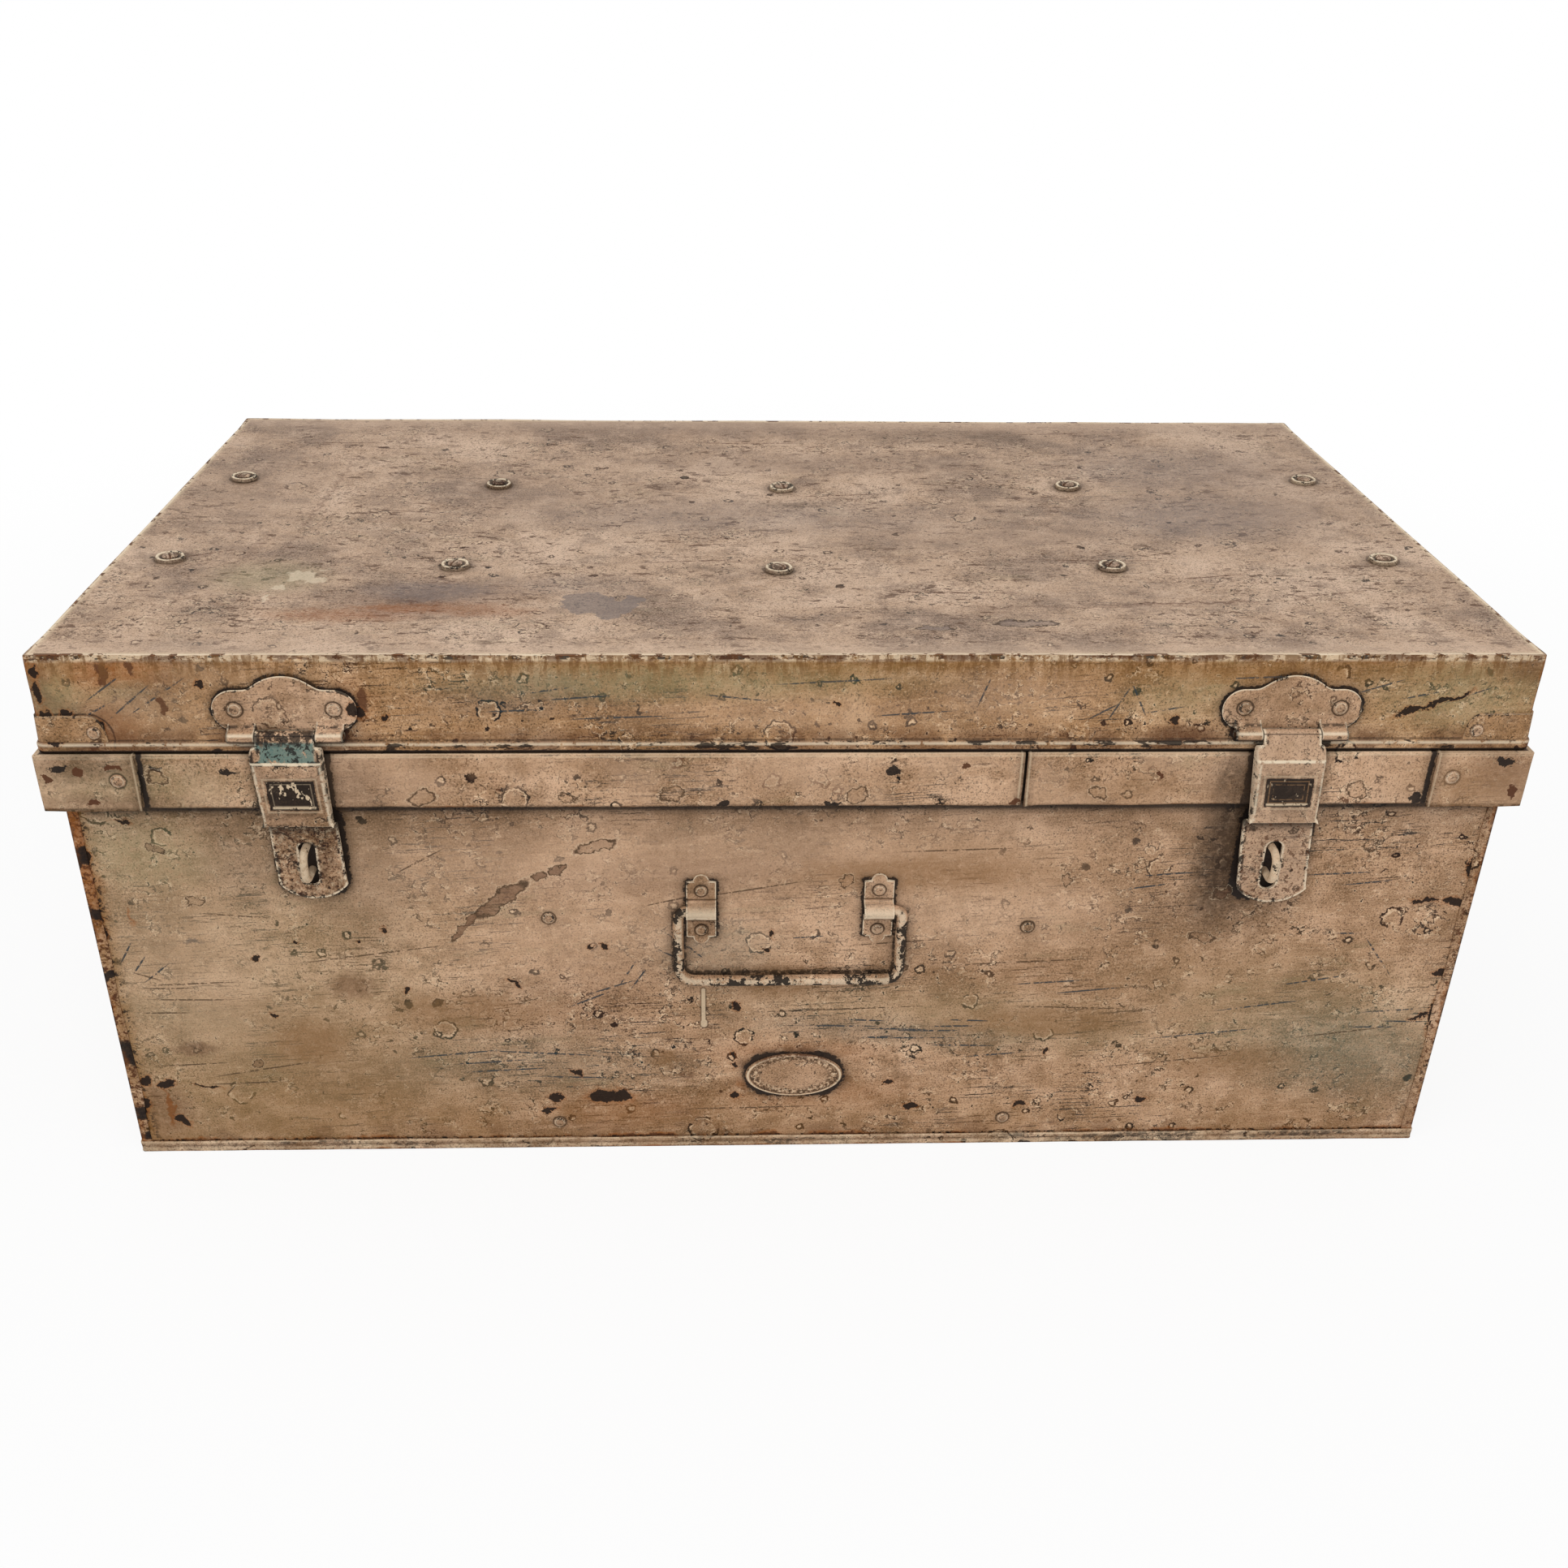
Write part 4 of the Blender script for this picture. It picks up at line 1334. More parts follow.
def build_materials():
    """Every node group and material of the box, by name."""
    c, sizes, _ = settings()
    parts = {"streaks": build_streaks(), "rings": build_rings(), "wrinkles": build_wrinkles(), "chips": build_chips()}
    kit = {
        "mark": build_mark(), "outline": build_outline(), "rings": parts["rings"], "colours": c, "relief": sizes.relief,
    }
    kit["aged_paint"] = build_aged_paint(c, parts)
    paint = (c.body, c.body_light, c.body_dark)
    # main, light and dark tone, chips, grime, rubbed edges, level of the chipped edges, speckle
    fittings = {
        "plate": (*paint, 0.07, 0.15, 0.75, 0.58, 0.7),
        "hasp_left": (*paint, 0.09, 0.3, 0.8, 0.52, 0.9),
        "hasp_right": (c.body_light, c.body_light, c.body, 0.07, 0.12, 0.8, 0.54, 0.8),
        "corner_plate": (c.lid, c.lid_light, c.lid_dark, 0.1, 0.3, 0.15, 0.55),
        "bail": (*paint, 0.06, 0.2, 0.0, 0.44),
        "rivet": (*paint, 0.02, 0.3, 0.4, 0.6),
        "screw": (c.top_dark, c.top_light, c.rust_dark, 0.05, 0.35, 0.7, 0.6),
        "washer": (c.top, c.cream, c.body_dark, 0.02, 0.15, 0.95, 0.58),
        "badge": (*paint, 0.0, 0.15, 0.7, 0.62),
    }
    return {
        "body_front": build_body_front(kit),
        "body_side": build_body_side(kit),
        "hem": build_hem(kit),
        "band_front": build_band(kit, "band_front", "front"),
        "band_side": build_band(kit, "band_side", "side"),
        "lid_front": build_lid_wall(kit, "lid_front", "front"),
        "lid_side": build_lid_wall(kit, "lid_side", "side"),
        "top": build_top(kit),
        **{name: build_fitting(kit, name, *look) for name, look in fittings.items()},
        "steel": build_steel(kit),
        "inner": build_inner(kit),
        "wood": build_wood(kit),
    }


MATERIALS = {}


def material(name):
    if not MATERIALS:
        MATERIALS.update(build_materials())
    return MATERIALS[name]


# ---------------------------------------------------------------- folded pans: the lid and the bottom
def side_lines(half, radius, count):
    """Places along a side: even between its corners, then half a corner radius and a whole one further out."""
    return np.concatenate(
        [[-half, radius / 2 - half], np.linspace(radius - half, half - radius, count), [half - radius / 2, half]]
    )


def plate_grid(half_x, half_y, radius, count_x, count_y):
    """A plate's points in plan, and the outward direction of each. The grid's corner squares are squeezed into
    quarter discs: a point's distance from the disc's middle becomes the longer of its two coordinates."""
    x, y = np.meshgrid(side_lines(half_x, radius, count_x), side_lines(half_y, radius, count_y))
    over_x = np.maximum(abs(x) - (half_x - radius), 0)
    over_y = np.maximum(abs(y) - (half_y - radius), 0)
    length = np.maximum(np.hypot(over_x, over_y), 1e-9)
    squeeze = np.where((over_x > 1e-9) & (over_y > 1e-9), np.maximum(over_x, over_y) / length, 1.0)
    away = np.stack([np.sign(x) * over_x / length, np.sign(y) * over_y / length], -1)
    x = np.sign(x) * (np.minimum(abs(x), half_x - radius) + over_x * squeeze)
    y = np.sign(y) * (np.minimum(abs(y), half_y - radius) + over_y * squeeze)
    return x, y, away


def rim_numbers(rows, columns):
    """Numbers of a grid's border points, once round."""
    return np.concatenate(
        [
            np.arange(columns),
            np.arange(1, rows) * columns + columns - 1,
            (rows - 1) * columns + np.arange(columns - 2, -1, -1),
            np.arange(rows - 2, 0, -1) * columns,
        ]
    )


def pan_shell(outer, inner, skirt, lining):
    """A closed pan: the outside plate, rings that follow the skirt's profile of offset and height out from the
    plate's rim, rings of the lining's profile from the inside plate's rim, and the inside plate."""
    blocks, faces = [], []
    rows, columns = outer[0].shape
    rim = rim_numbers(rows, columns)

    def plate(x, y, z):
        return np.stack([x, y, np.broadcast_to(z, x.shape)], -1).reshape(-1, 3)

    def rings(source, profile):
        x, y, away, _ = source
        start = np.stack([x.ravel()[rim], y.ravel()[rim]], -1)
        spread = start + away.reshape(-1, 2)[rim] * profile[:, :1, None]
        height = np.broadcast_to(profile[:, 1:2, None], spread.shape[:2] + (1,))
        return np.concatenate([spread, height], -1).reshape(-1, 3)

    skirt, lining = np.asarray(skirt, float), np.asarray(lining, float)
    blocks.append(plate(outer[0], outer[1], outer[3]))
    faces.append(grid_quads(rows, columns))
    total = rows * columns
    loop = rim
    for source, profile in ((outer, skirt), (inner, lining)):
        blocks.append(rings(source, profile))
        first = total + np.arange(len(rim))
        faces.append(bridge(loop, first))
        faces.append(grid_quads(len(profile), len(rim), total, wrap=True))
        total += len(profile) * len(rim)
        loop = total - len(rim) + np.arange(len(rim))
    blocks.append(plate(inner[0], inner[1], inner[3]))
    faces.append(bridge(loop, total + rim))
    faces.append(grid_quads(rows, columns, total)[:, ::-1])
    counts = [len(f) for f in faces]
    return np.concatenate(blocks), np.concatenate(faces), counts


def arc(centre, radius, start, end, count):
    """Points of a circle's arc, angles in degrees."""
    turn = np.radians(np.linspace(start, end, count))
    return np.stack([centre[0] + radius * np.cos(turn), centre[1] + radius * np.sin(turn)], -1)


def lid_wall(height):
    """How far the lid's wall stands out beyond its top edge at a height."""
    return LID_FLARE * (LID_TOP - np.asarray(height, float)) / (LID_TOP - LID_FOOT)


def panel_height(x, y, dish):
    """The dished top: a parabola each way, nothing at the edges and the whole dish at the middle."""
    return LID_TOP - 0.1 - dish * np.clip(1 - (x / LID_X) ** 2, 0, 1) * np.clip(1 - (y / LID_Y) ** 2, 0, 1)


def lid_unevenness(points, amount):
    """Moves the lid's points: walls, top and the long top edges ripple a little, the top
    has a crease near its left end, shallow over the batten, and the upper corners are pulled outwards."""
    x, y, z = points.T.copy()
    inside = soft_step(np.minimum(LID_X - abs(x), LID_Y - abs(y)), 2, 40)
    rise = amount * 2.2 * ripple(x, y, 5, 150) + 0.25 * ripple(x, y, 6, 60)
    crease = np.exp(-(((x + 288 - 0.02 * y) / 5.0) ** 2)) * soft_step(y, -30, 10) * soft_step(y, 150, 115)
    rise = rise - crease * (0.9 - 0.65 * soft_step(abs(y - SCREW_ROW), 34, 18))
    z = z + inside * np.maximum(rise, -0.65)
    wall_x = soft_step(abs(x) - LID_X, -3, 0)
    wall_y = soft_step(abs(y) - LID_Y, -3, 0)
    high = soft_step(z, 290, 322)
    reach = 1 - soft_step(np.hypot(LID_X - abs(x), LID_Y - abs(y)), 0, 26)
    x = x + np.sign(x) * (wall_x * (amount * ripple(y, z, 8, 120)) + wall_x * high * reach)
    y = y + np.sign(y) * (wall_y * (amount * ripple(x, z, 9, 120)) + wall_y * high * reach * 0.6)
    edge = soft_step(z, 300, 322) * wall_y
    z = z + edge * (0.25 * ripple(x, y * 0, 12, 90))
    return np.stack([x, y, z], -1)


class DEEDBOX_OT_lid(bpy.types.Operator):
    """The lid's pan: a dished top, a rounded fold, leaning walls and a rolled lower edge"""

    bl_idname = "deedbox.lid"
    bl_label = "Lid shell"

    def execute(self, context):
        _, sizes, _ = settings()
        count_x, count_y = 236, 92
        half = (LID_X - FOLD, LID_Y - FOLD)
        x, y, away = plate_grid(*half, 0.8, count_x, count_y)
        outer = (x, y, away, panel_height(x, y, sizes.dish))
        x, y, away = plate_grid(half[0] - SHEET, half[1] - SHEET, 0.3, count_x, count_y)
        inner = (x, y, away, panel_height(x, y, sizes.dish) - SHEET)
        wall = np.linspace(LID_TOP - FOLD, BEAD_TOP + 0.5, 20)
        bead = FOLD + LID_FLARE + BEAD_PROUD
        skirt = np.concatenate(
            [
                arc((0, LID_TOP - FOLD), FOLD, 70, 12, 4),
                np.stack([FOLD + lid_wall(wall), wall], -1),
                [(FOLD + lid_wall(BEAD_TOP) + 0.3, BEAD_TOP + 0.1)],
                arc((bead - 1.5, BEAD_TOP - 1.5), 1.5, 85, 0, 5),
                arc((bead - 1.5, LID_FOOT + 1.3), 1.3, 0, -85, 5),
            ]
        )
        low = np.linspace(LID_FOOT, LID_TOP - 2.2, 12)
        lining = np.stack([FOLD + lid_wall(low), low], -1)
        points, faces, counts = pan_shell(outer, inner, skirt, lining)
        centres = points[faces].mean(1)
        edges = np.cumsum(counts)
        zone = np.zeros(len(faces), int)
        skirt_faces = (np.arange(len(faces)) >= edges[0]) & (np.arange(len(faces)) < edges[2])
        front = centres[:, 1] < -LID_Y + 1.0
        zone[skirt_faces] = np.where(front[skirt_faces], 1, 2)
        zone[skirt_faces & (centres[:, 2] > LID_TOP - 0.35)] = 0
        zone[edges[2] :] = 3
        shell = lid_unevenness(points, sizes.ripple)
        names = ("top", "lid_front", "lid_side", "inner")
        make_piece(
            "lid_shell", shell, faces, "lid", "lid_paint", [material(n) for n in names], ["lid_pan"],
            closed=True, zones=zone, sharp=50,
        )
        return {"FINISHED"}


class DEEDBOX_OT_bottom(bpy.types.Operator):
    """The bottom sheet with its hem folded up outside the walls"""

    bl_idname = "deedbox.bottom"
    bl_label = "Bottom and hem"

    def execute(self, context):
        rise, half = 7.5, (WALL_X + SHEET, WALL_Y + 2 * SHEET)
        grid = plate_grid(half[0] - 0.6, half[1] - 0.6, 1.2, 130, 70)
        outer = (*grid, 0.0)
        grid = plate_grid(half[0] - SHEET, half[1] - SHEET, 0.7, 130, 70)
        inner = (*grid, SHEET)
        skirt = np.concatenate(
            [arc((0, 0.6), 0.6, -75, 0, 4), [(0.45, 1.6), (0.35, 3.0), (0.55, 5.2)], arc((0.1, 6.9), 0.55, 0, 90, 4)]
        )
        lining = np.array([(0.05, rise - 0.1), (0.0, 4.0), (0.0, SHEET + 0.1)])
        points, faces, _ = pan_shell(outer, inner, skirt, lining)
        x, y, z = points.T
        rim = soft_step(np.maximum(abs(x) - WALL_X, abs(y) - WALL_Y), -1.0, 0.4)
        y = y - np.sign(y) * rim * np.maximum(0.18 * ripple(x, z * 3, 31, 45), 0)
        z = z + rim * soft_step(z, 3, 7) * 0.25 * ripple(x, y, 32, 30)
        make_piece(
            "base_hem", np.stack([x, y, z], -1), faces, "trunk", "body_paint", [
                material("hem"),
            ], ["base_panel"], closed=True
        )
        return {"FINISHED"}


class DEEDBOX_OT_walls(bpy.types.Operator):
    """The body's four walls, the end walls lapping round the corners"""

    bl_idname = "deedbox.walls"
    bl_label = "Body walls"

    def execute(self, context):
        _, sizes, _ = settings()
        for seed, (side, name) in enumerate((("front", "front_panel"), ("back", "back_panel"))):
            along, height = np.meshgrid(
                np.linspace(0.9 - WALL_X, WALL_X - 0.9, 150), np.linspace(SHEET + 0.05, WALL_TOP, 58),
            )
            free = soft_step(WALL_X - abs(along), 0, 30) * soft_step(height, 10, 40) * soft_step(height, 236, 200)
            out = WALL_Y + free * sizes.ripple * 1.3 * (
                ripple(along, height, 20 + seed, 140) + 0.3 * ripple(along, height, 24 + seed, 40)
            )
            make_sheet(
                f"{side}_wall", on_side(side, along, out, height), "trunk", "body_paint",
                material("body_front" if side == "front" else "body_side"), replaced=[name], thickness=SHEET,
            )
        for seed, side in enumerate(("left", "right")):
            flange, top = 6.0, BAND_FOOT - 1
            corner = WALL_Y + SHEET
            plan = rounded_path(
                [
                    (WALL_X - flange, -corner), (WALL_X, -corner), (WALL_X, corner), (WALL_X - flange, corner),
                ], [0.7, 0.7], 4.0
            )
            heights = np.linspace(SHEET + 0.05, top, 50)
            out, height = np.meshgrid(plan[:, 0], heights)
            along = np.broadcast_to(plan[:, 1], out.shape)
            free = soft_step(WALL_Y - abs(along), 0, 30) * soft_step(height, 10, 40) * soft_step(height, 230, 200)
            out = out + free * sizes.ripple * 1.3 * ripple(along, height, 27 + seed, 120)
            lap = soft_step(abs(along), WALL_Y, corner)
            wander = lap * 0.9 * ripple(height, height * 0, 29 + seed, 50) * soft_step(WALL_X - out, 2, 5)
            out = out + wander
            make_sheet(
                f"{side}_end_wall", on_side(side, along, out, height), "trunk", "body_paint", material("body_side"),
                replaced=[f"{side}_end_panel"], thickness=SHEET, sharp=60,
            )
            # the plain upper part inside the lid
            along, height = np.meshgrid(np.linspace(-WALL_Y, WALL_Y, 60), np.linspace(top, WALL_TOP, 12))
            make_sheet(
                f"{side}_end_wall_top", on_side(side, along, WALL_X, height), "trunk", "body_paint",
                material("body_side"),
                thickness=SHEET,
            )
        return {"FINISHED"}


class DEEDBOX_OT_band(bpy.types.Operator):
    """The hollow band round the body and its corner pieces"""

    bl_idname = "deedbox.band"
    bl_label = "Band"

    def execute(self, context):
        _, sizes, _ = settings()
        strips = (
            ("band_front_left", "front", -BAND_X, BAND_SPLIT - 0.6, 1),
            ("band_front_right", "front", BAND_SPLIT + 1.0, BAND_X, -1),
            ("band_back", "back", -BAND_X, BAND_X, 0), ("band_left", "left", -WALL_Y, WALL_Y, 0),
            ("band_right", "right", -WALL_Y, WALL_Y, 0),
        )
        for seed, (name, side, start, end, free_end) in enumerate(strips):
            wall, face = (WALL_Y, BAND_Y) if side in ("front", "back") else (WALL_X, BAND_X)
            profile = rounded_path(
                [(wall, BAND_TOP), (face, BAND_TOP), (face, BAND_FOOT), (wall, BAND_FOOT)], [1.2, 1.1], 1.0,
            )
            along = np.linspace(start, end, max(60, int((end - start) / 2.5)))
            a, out = np.meshgrid(along, profile[:, 0])
            height = np.broadcast_to(profile[:, 1:], a.shape)
            skin = soft_step(out, face - 2, face - 0.5)
            out = out + skin * sizes.ripple * 1.2 * (
                ripple(a, height, 40 + seed, 70) + 0.5 * ripple(a, height, 50 + seed, 22)
            ) - skin * 0.2
            height = height + soft_step(height, 242, 238) * skin * 0.35 * ripple(a, a * 0, 45 + seed, 60)
            if free_end:
                tip = BAND_SPLIT
                near = np.exp(-abs(a - tip) / 5.0)
                low = soft_step(height, 252, 238)
                out = out + skin * near * ((0.9 * low - 0.2) if free_end < 0 else (0.3 - 0.8 * low))
                height = height - near * soft_step(height, 245, 238) * (0.9 if free_end < 0 else 0.2)
            make_sheet(
                name.replace("band_", "strip_"), on_side(side, a, out, height), "trunk", "band_paint",
                material("band_front" if side == "front" else "band_side"), replaced=[name], thickness=SHEET, sharp=60,
            )
        for seed, (sx, sy, corner) in enumerate(CORNERS):
            outer_x, outer_y, leg, foot = BAND_X + SHEET, BAND_Y + SHEET, 51.0, BAND_FOOT - 0.7
            plan = rounded_path([(outer_x - leg, -outer_y), (outer_x, -outer_y), (outer_x, leg - outer_y)], [1.0], 1.6)
            heights = np.concatenate([[foot], np.linspace(foot + 0.6, BAND_TOP - 0.6, 22), [BAND_TOP]])
            x, z = np.meshgrid(plan[:, 0], heights)
            y = np.broadcast_to(plan[:, 1], x.shape)
            ends = soft_step(outer_x - x, leg - 4, leg) + soft_step(y + outer_y, leg - 4, leg)
            lean = ends * 1.1 * ripple(z, z * 0, 60 + seed, 40)
            bump = sizes.ripple * 0.9 * ripple(x + y, z, 64 + seed, 26)
            on_face = soft_step(outer_y + y, 1.2, 0.2)
            y2 = y - bump * on_face + ends * soft_step(x, outer_x - 1, outer_x - 0.2) * lean - 0.1
            x2 = x + bump * (1 - on_face) - ends * on_face * lean
            z2 = z + soft_step(z, 242, 236.6) * 0.3 * ripple(x, y, 68 + seed, 30)
            name = f"band_corner_{corner}"
            make_sheet(
                name.replace("band_", "capping_"), np.stack([sx * x2, -sy * y2, z2], -1), "trunk", "band_paint",
                material("band_front" if sy < 0 else "band_side"), replaced=[name], thickness=SHEET, bevel=0.25,
                sharp=50,
            )
        return {"FINISHED"}


# ---------------------------------------------------------------- lid fittings
def plate_outline(x):
    """Lower and upper edge of a hinge plate over the distance from its middle: a bar with round ends of radius
    11.2, and over it a hump of radius 22, joined by a soft maximum."""
    half = np.sqrt(np.maximum(11.2**2 - np.maximum(abs(x) - 25.1, 0) ** 2, 0))
    hump = np.sqrt(np.maximum(22.0**2 - x**2, 0)) - 4.0
    upper = half - 0.8
    blend = 1.6
    upper = np.where(abs(x) < 24, blend * np.logaddexp(upper / blend, hump / blend), upper)
    return -0.8 - half, upper


class DEEDBOX_OT_hinge_plates(bpy.types.Operator):
    """The two shaped plates on the lid that carry the hasps, with ears rolled over the pins"""

    bl_idname = "deedbox.hinge_plates"
    bl_label = "Hasp plates"

    def execute(self, context):
        _, sizes, _ = settings()
        for seed, (hand, hasp) in enumerate(HASPS.items()):
            turn = np.linspace(-1, 1, 92)
            x = PLATE_HALF * np.sin(turn * math.pi / 2)
            low, high = plate_outline(x)
            share = (1 - np.cos(np.linspace(0, math.pi, 34))) / 2
            across = np.broadcast_to(x, (34, 92))
            up = low + (high - low) * share[:, None]
            edge = np.minimum(np.minimum(up - low, high - up), PLATE_HALF - abs(x))
            lift = LID_Y + lid_wall(PLATE_HEIGHT + up) + 1.3
            lift = lift + sizes.dents * 1.2 * ripple(across, up, 70 + seed, 18) - 0.35 * np.exp(-edge)
            if hand == "left":
                lift = lift + 0.25 * soft_step(across, 24, 36)
            grid = on_side("front", hasp["x"] + across, lift, PLATE_HEIGHT + up)
            make_sheet(
                f"hasp_plate_{hand}", grid, "lid", "fitting_paint", material("plate"),
                replaced=[f"hasp_hinge_plate_{hand}"],
                thickness=1.25, bevel=0.3, merge=True, values={"wear": np.exp(-edge / 0.8)},
            )
            out, height = HASP_AXIS
            curl = arc((out, height), 2.6, 95, -205, 30)
            start = [(LID_Y + float(lid_wall(287)) + 0.7, 287.0), (LID_Y + float(lid_wall(285)) + 0.7, 285.4)]
            section = np.concatenate([start, curl])
            for sign in (-1, 1):
                places = np.linspace(*EAR, 14)
                a, o = np.meshgrid(hasp["x"] + sign * places, section[:, 0])
                z = np.broadcast_to(section[:, 1:], a.shape)
                from_middle = abs(a - hasp["x"])
                flare = 0.18 * soft_step(from_middle, 27.5, EAR[1])
                o = o + 0.1 * ripple(a, z, 74 + seed, 9) - flare
                end = np.minimum(from_middle - EAR[0], EAR[1] - from_middle)
                make_sheet(
                    f"hasp_ear_{hand}_{'left' if sign < 0 else 'right'}", on_side("front", a, o, z), "lid",
                    "fitting_paint",
                    material("plate"), thickness=1.2, offset=0, bevel=0.3, middle=(hasp["x"] + sign * 22, -out, height),
                    values={"wear": np.exp(-end)}, sharp=60,
                )
        return {"FINISHED"}


class DEEDBOX_OT_lid_corners(bpy.types.Operator):
    """Low plates round the lid's corners, above the rolled edge"""

    bl_idname = "deedbox.lid_corners"
    bl_label = "Lid corner plates"

    def execute(self, context):
        for seed, (sx, sy, corner) in enumerate(CORNERS):
            reach, tall = 33.6, 14.4
            plan = rounded_path([(LID_X - reach, -LID_Y), (LID_X, -LID_Y), (LID_X, reach - LID_Y)], [1.6], 1.0)
            from_end = np.minimum(plan[:, 0] - (LID_X - reach), (reach - LID_Y) - plan[:, 1])
            height = tall * np.sqrt(np.clip(1 - (1 - np.clip(from_end / 8.0, 0, 1)) ** 2.2, 0.0, 1))
            height = np.maximum(height, 0.4) + 0.25 * ripple(plan[:, 0], plan[:, 1], 80 + seed, 25)
            share = np.linspace(0, 1, 16)[:, None]
            z = BEAD_TOP + 0.1 + height * share
            away = np.stack(
                [soft_step(plan[:, 0], LID_X - 1.6, LID_X), -soft_step(-plan[:, 1], LID_Y - 1.6, LID_Y)], -1,
            )
            away /= np.maximum(np.linalg.norm(away, axis=1), 1e-6)[:, None]
            lift = lid_wall(z) + SHEET + 0.12
            x = plan[:, 0] + away[:, 0] * lift
            y = plan[:, 1] + away[:, 1] * lift
            edge = np.minimum(height * (1 - share), np.broadcast_to(from_end, z.shape))
            name = f"lid_corner_plate_{corner}"
            make_sheet(
                name.replace("lid_corner", "corner"), np.stack([sx * x, -sy * y, z], -1), "lid", "lid_paint",
                material("corner_plate"), replaced=[name], thickness=SHEET, bevel=0.25,
                values={"wear": np.exp(-edge / 0.8)}, sharp=50,
            )
        return {"FINISHED"}


# ---------------------------------------------------------------- hasps
def hasp_grid(hasp, seed, dents):
    """The hasp's bent sheet, as rows along its bend and columns across.

    A row's middle leans sideways with its depth below the pin's ears. The columns run from each edge to the slot's
    edge, which is the middle line where there is no slot, and the rows beside the face go on round a fold and
    straight back to make its pressed sides."""
    out_axis, z_axis = HASP_AXIS
    straight_to = z_axis - 8.0
    tongue_out, ear_half, corner = 207.9, 14.8, 8.5
    slot_low, slot_high = hasp["slot"]
    slot_half = 4.4
    knuckle = arc((out_axis, z_axis), 2.45, 222, 28, 26)
    bend = rounded_path(
        [
            tuple(knuckle[-1]), (218.4, 268.4), (215.6, 230.6), (tongue_out, 227.4), (tongue_out, slot_high + 3),
        ], [1.6, 1.4, 2.0], 0.7
    )
    cap = slot_half * (1 - np.cos(np.linspace(0, math.pi / 2, 9)))
    low_rows = np.concatenate(
        [
            np.linspace(slot_high + 2.5, slot_high + 0.4, 4), slot_high - cap,
            np.linspace(slot_high - slot_half - 0.7, slot_low + slot_half + 0.7, 26), (slot_low + cap)[::-1],
            np.linspace(slot_low - 0.5, hasp["bottom"], 12),
        ]
    )
    tongue = np.stack([np.full(len(low_rows), tongue_out), low_rows], -1)
    path = np.concatenate([knuckle[:-1], bend, tongue])
    out, z = path.T
    on_knuckle = np.arange(len(path)) < len(knuckle) - 1
    levels = [hasp["bottom"], hasp["bottom"] + corner, 225.4, 229.6, 273.0, 274.6, 276.4, 284.0]
    halves = [hasp["tongue"], hasp["tongue"], hasp["tongue"], 17.6, 18.1, 17.5, ear_half, ear_half]
    half = np.where(on_knuckle, ear_half, np.interp(z, levels, halves))
    side = np.where(on_knuckle, 0.0, soft_step(z, 230.9, 231.7) * soft_step(z, 276.2, 274.2))
    depth = np.where(on_knuckle, 0.0, np.maximum(out - 212.2, 0.0)) * side
    share_down = np.where(on_knuckle, 0.0, np.maximum(straight_to - z, 0.0)) / (straight_to - hasp["bottom"])
    centre = hasp["x"] + (hasp["foot"] - hasp["x"]) * share_down
    inside = np.clip(np.minimum(z - slot_low, slot_high - z), 0, slot_half)
    slot_edge = np.sqrt(
        np.maximum(slot_half**2 - (slot_half - inside) ** 2, 0)
    ) * (z < 226) * ((z > slot_low) & (z < slot_high))
    shift = (hasp["staple"][0] - centre) * soft_step(z, 228, 220)
    fold = 1.1
    edge = half - 0.75 * side - fold * side
    share = np.linspace(0, 1, 25)
    columns = []
    for sign in (-1, 1):
        inner = shift + sign * slot_edge
        flat = sign * edge[:, None] * (1 - share) + inner[:, None] * share
        turn = np.radians([90, 67.5, 45, 22.5])
        folded = sign * (edge[:, None] + fold * side[:, None] * np.sin(turn))
        folded_back = fold * side[:, None] * (1 - np.cos(turn))
        straight_back = folded_back[:, :1] + np.maximum(depth - fold * side, 0)[:, None] * np.array([1.0, 0.66, 0.33])
        straight = np.repeat(folded[:, :1], 3, 1)
        across = np.concatenate([straight, folded, flat], 1)
        back = np.concatenate([straight_back, folded_back, np.zeros_like(flat)], 1)
        columns.append((across, back))
    left, right = columns
    across = np.concatenate([left[0], right[0][:, ::-1]], 1)
    back = np.concatenate([left[1], right[1][:, ::-1]], 1)
    split = left[0].shape[1]
    round_radius = (hasp["tongue"] ** 2 + corner**2) / (2 * corner)
    rise = round_radius - np.sqrt(
        np.maximum(round_radius**2 - np.clip(across, -hasp["tongue"], hasp["tongue"]) ** 2, 0)
    )
    height = z[:, None] + rise * np.where(z < 220, np.clip(1 - (z - hasp["bottom"]) / 12.0, 0, 1), 0)[:, None]
    x = centre[:, None] + across
    on_blank = soft_step(12.6 - abs(across), 0, 0.7) * soft_step(8.7 - abs(z[:, None] - 249.6), 0, 0.7) * (back < 0.01)
    on_blank = on_blank * (~on_knuckle)[:, None]
    o = out[:, None] - back - 0.7 * on_blank
    o = o + dents * ripple(across, z[:, None] + np.arange(len(z))[:, None] * 0.01, seed, 14) * (~on_knuckle)[:, None]
    run = np.concatenate([[0], np.cumsum(np.linalg.norm(np.diff(path, axis=0), axis=1))])
    border = np.minimum(abs(half[:, None] - abs(across)), np.maximum(height - (hasp["bottom"] + rise), 0))
    border = np.minimum(
        border, np.where(slot_edge[:, None] > 0, abs(abs(across - shift[:, None]) - slot_edge[:, None]), 99),
    )
    upper_fold = run[np.argmin(abs(z - 268.4) + on_knuckle * 99)]
    lower_fold = run[np.argmin(abs(z - 230.6) + on_knuckle * 99)]
    wear = np.maximum(np.exp(-border / 1.5), np.exp(-((run[:, None] - upper_fold) ** 2)) * 0.9)
    wear = np.maximum(wear, np.exp(-((run[:, None] - lower_fold) ** 2)) * 0.5)
    return on_side("front", x, np.minimum(o, 218.55), height), split, wear, on_blank


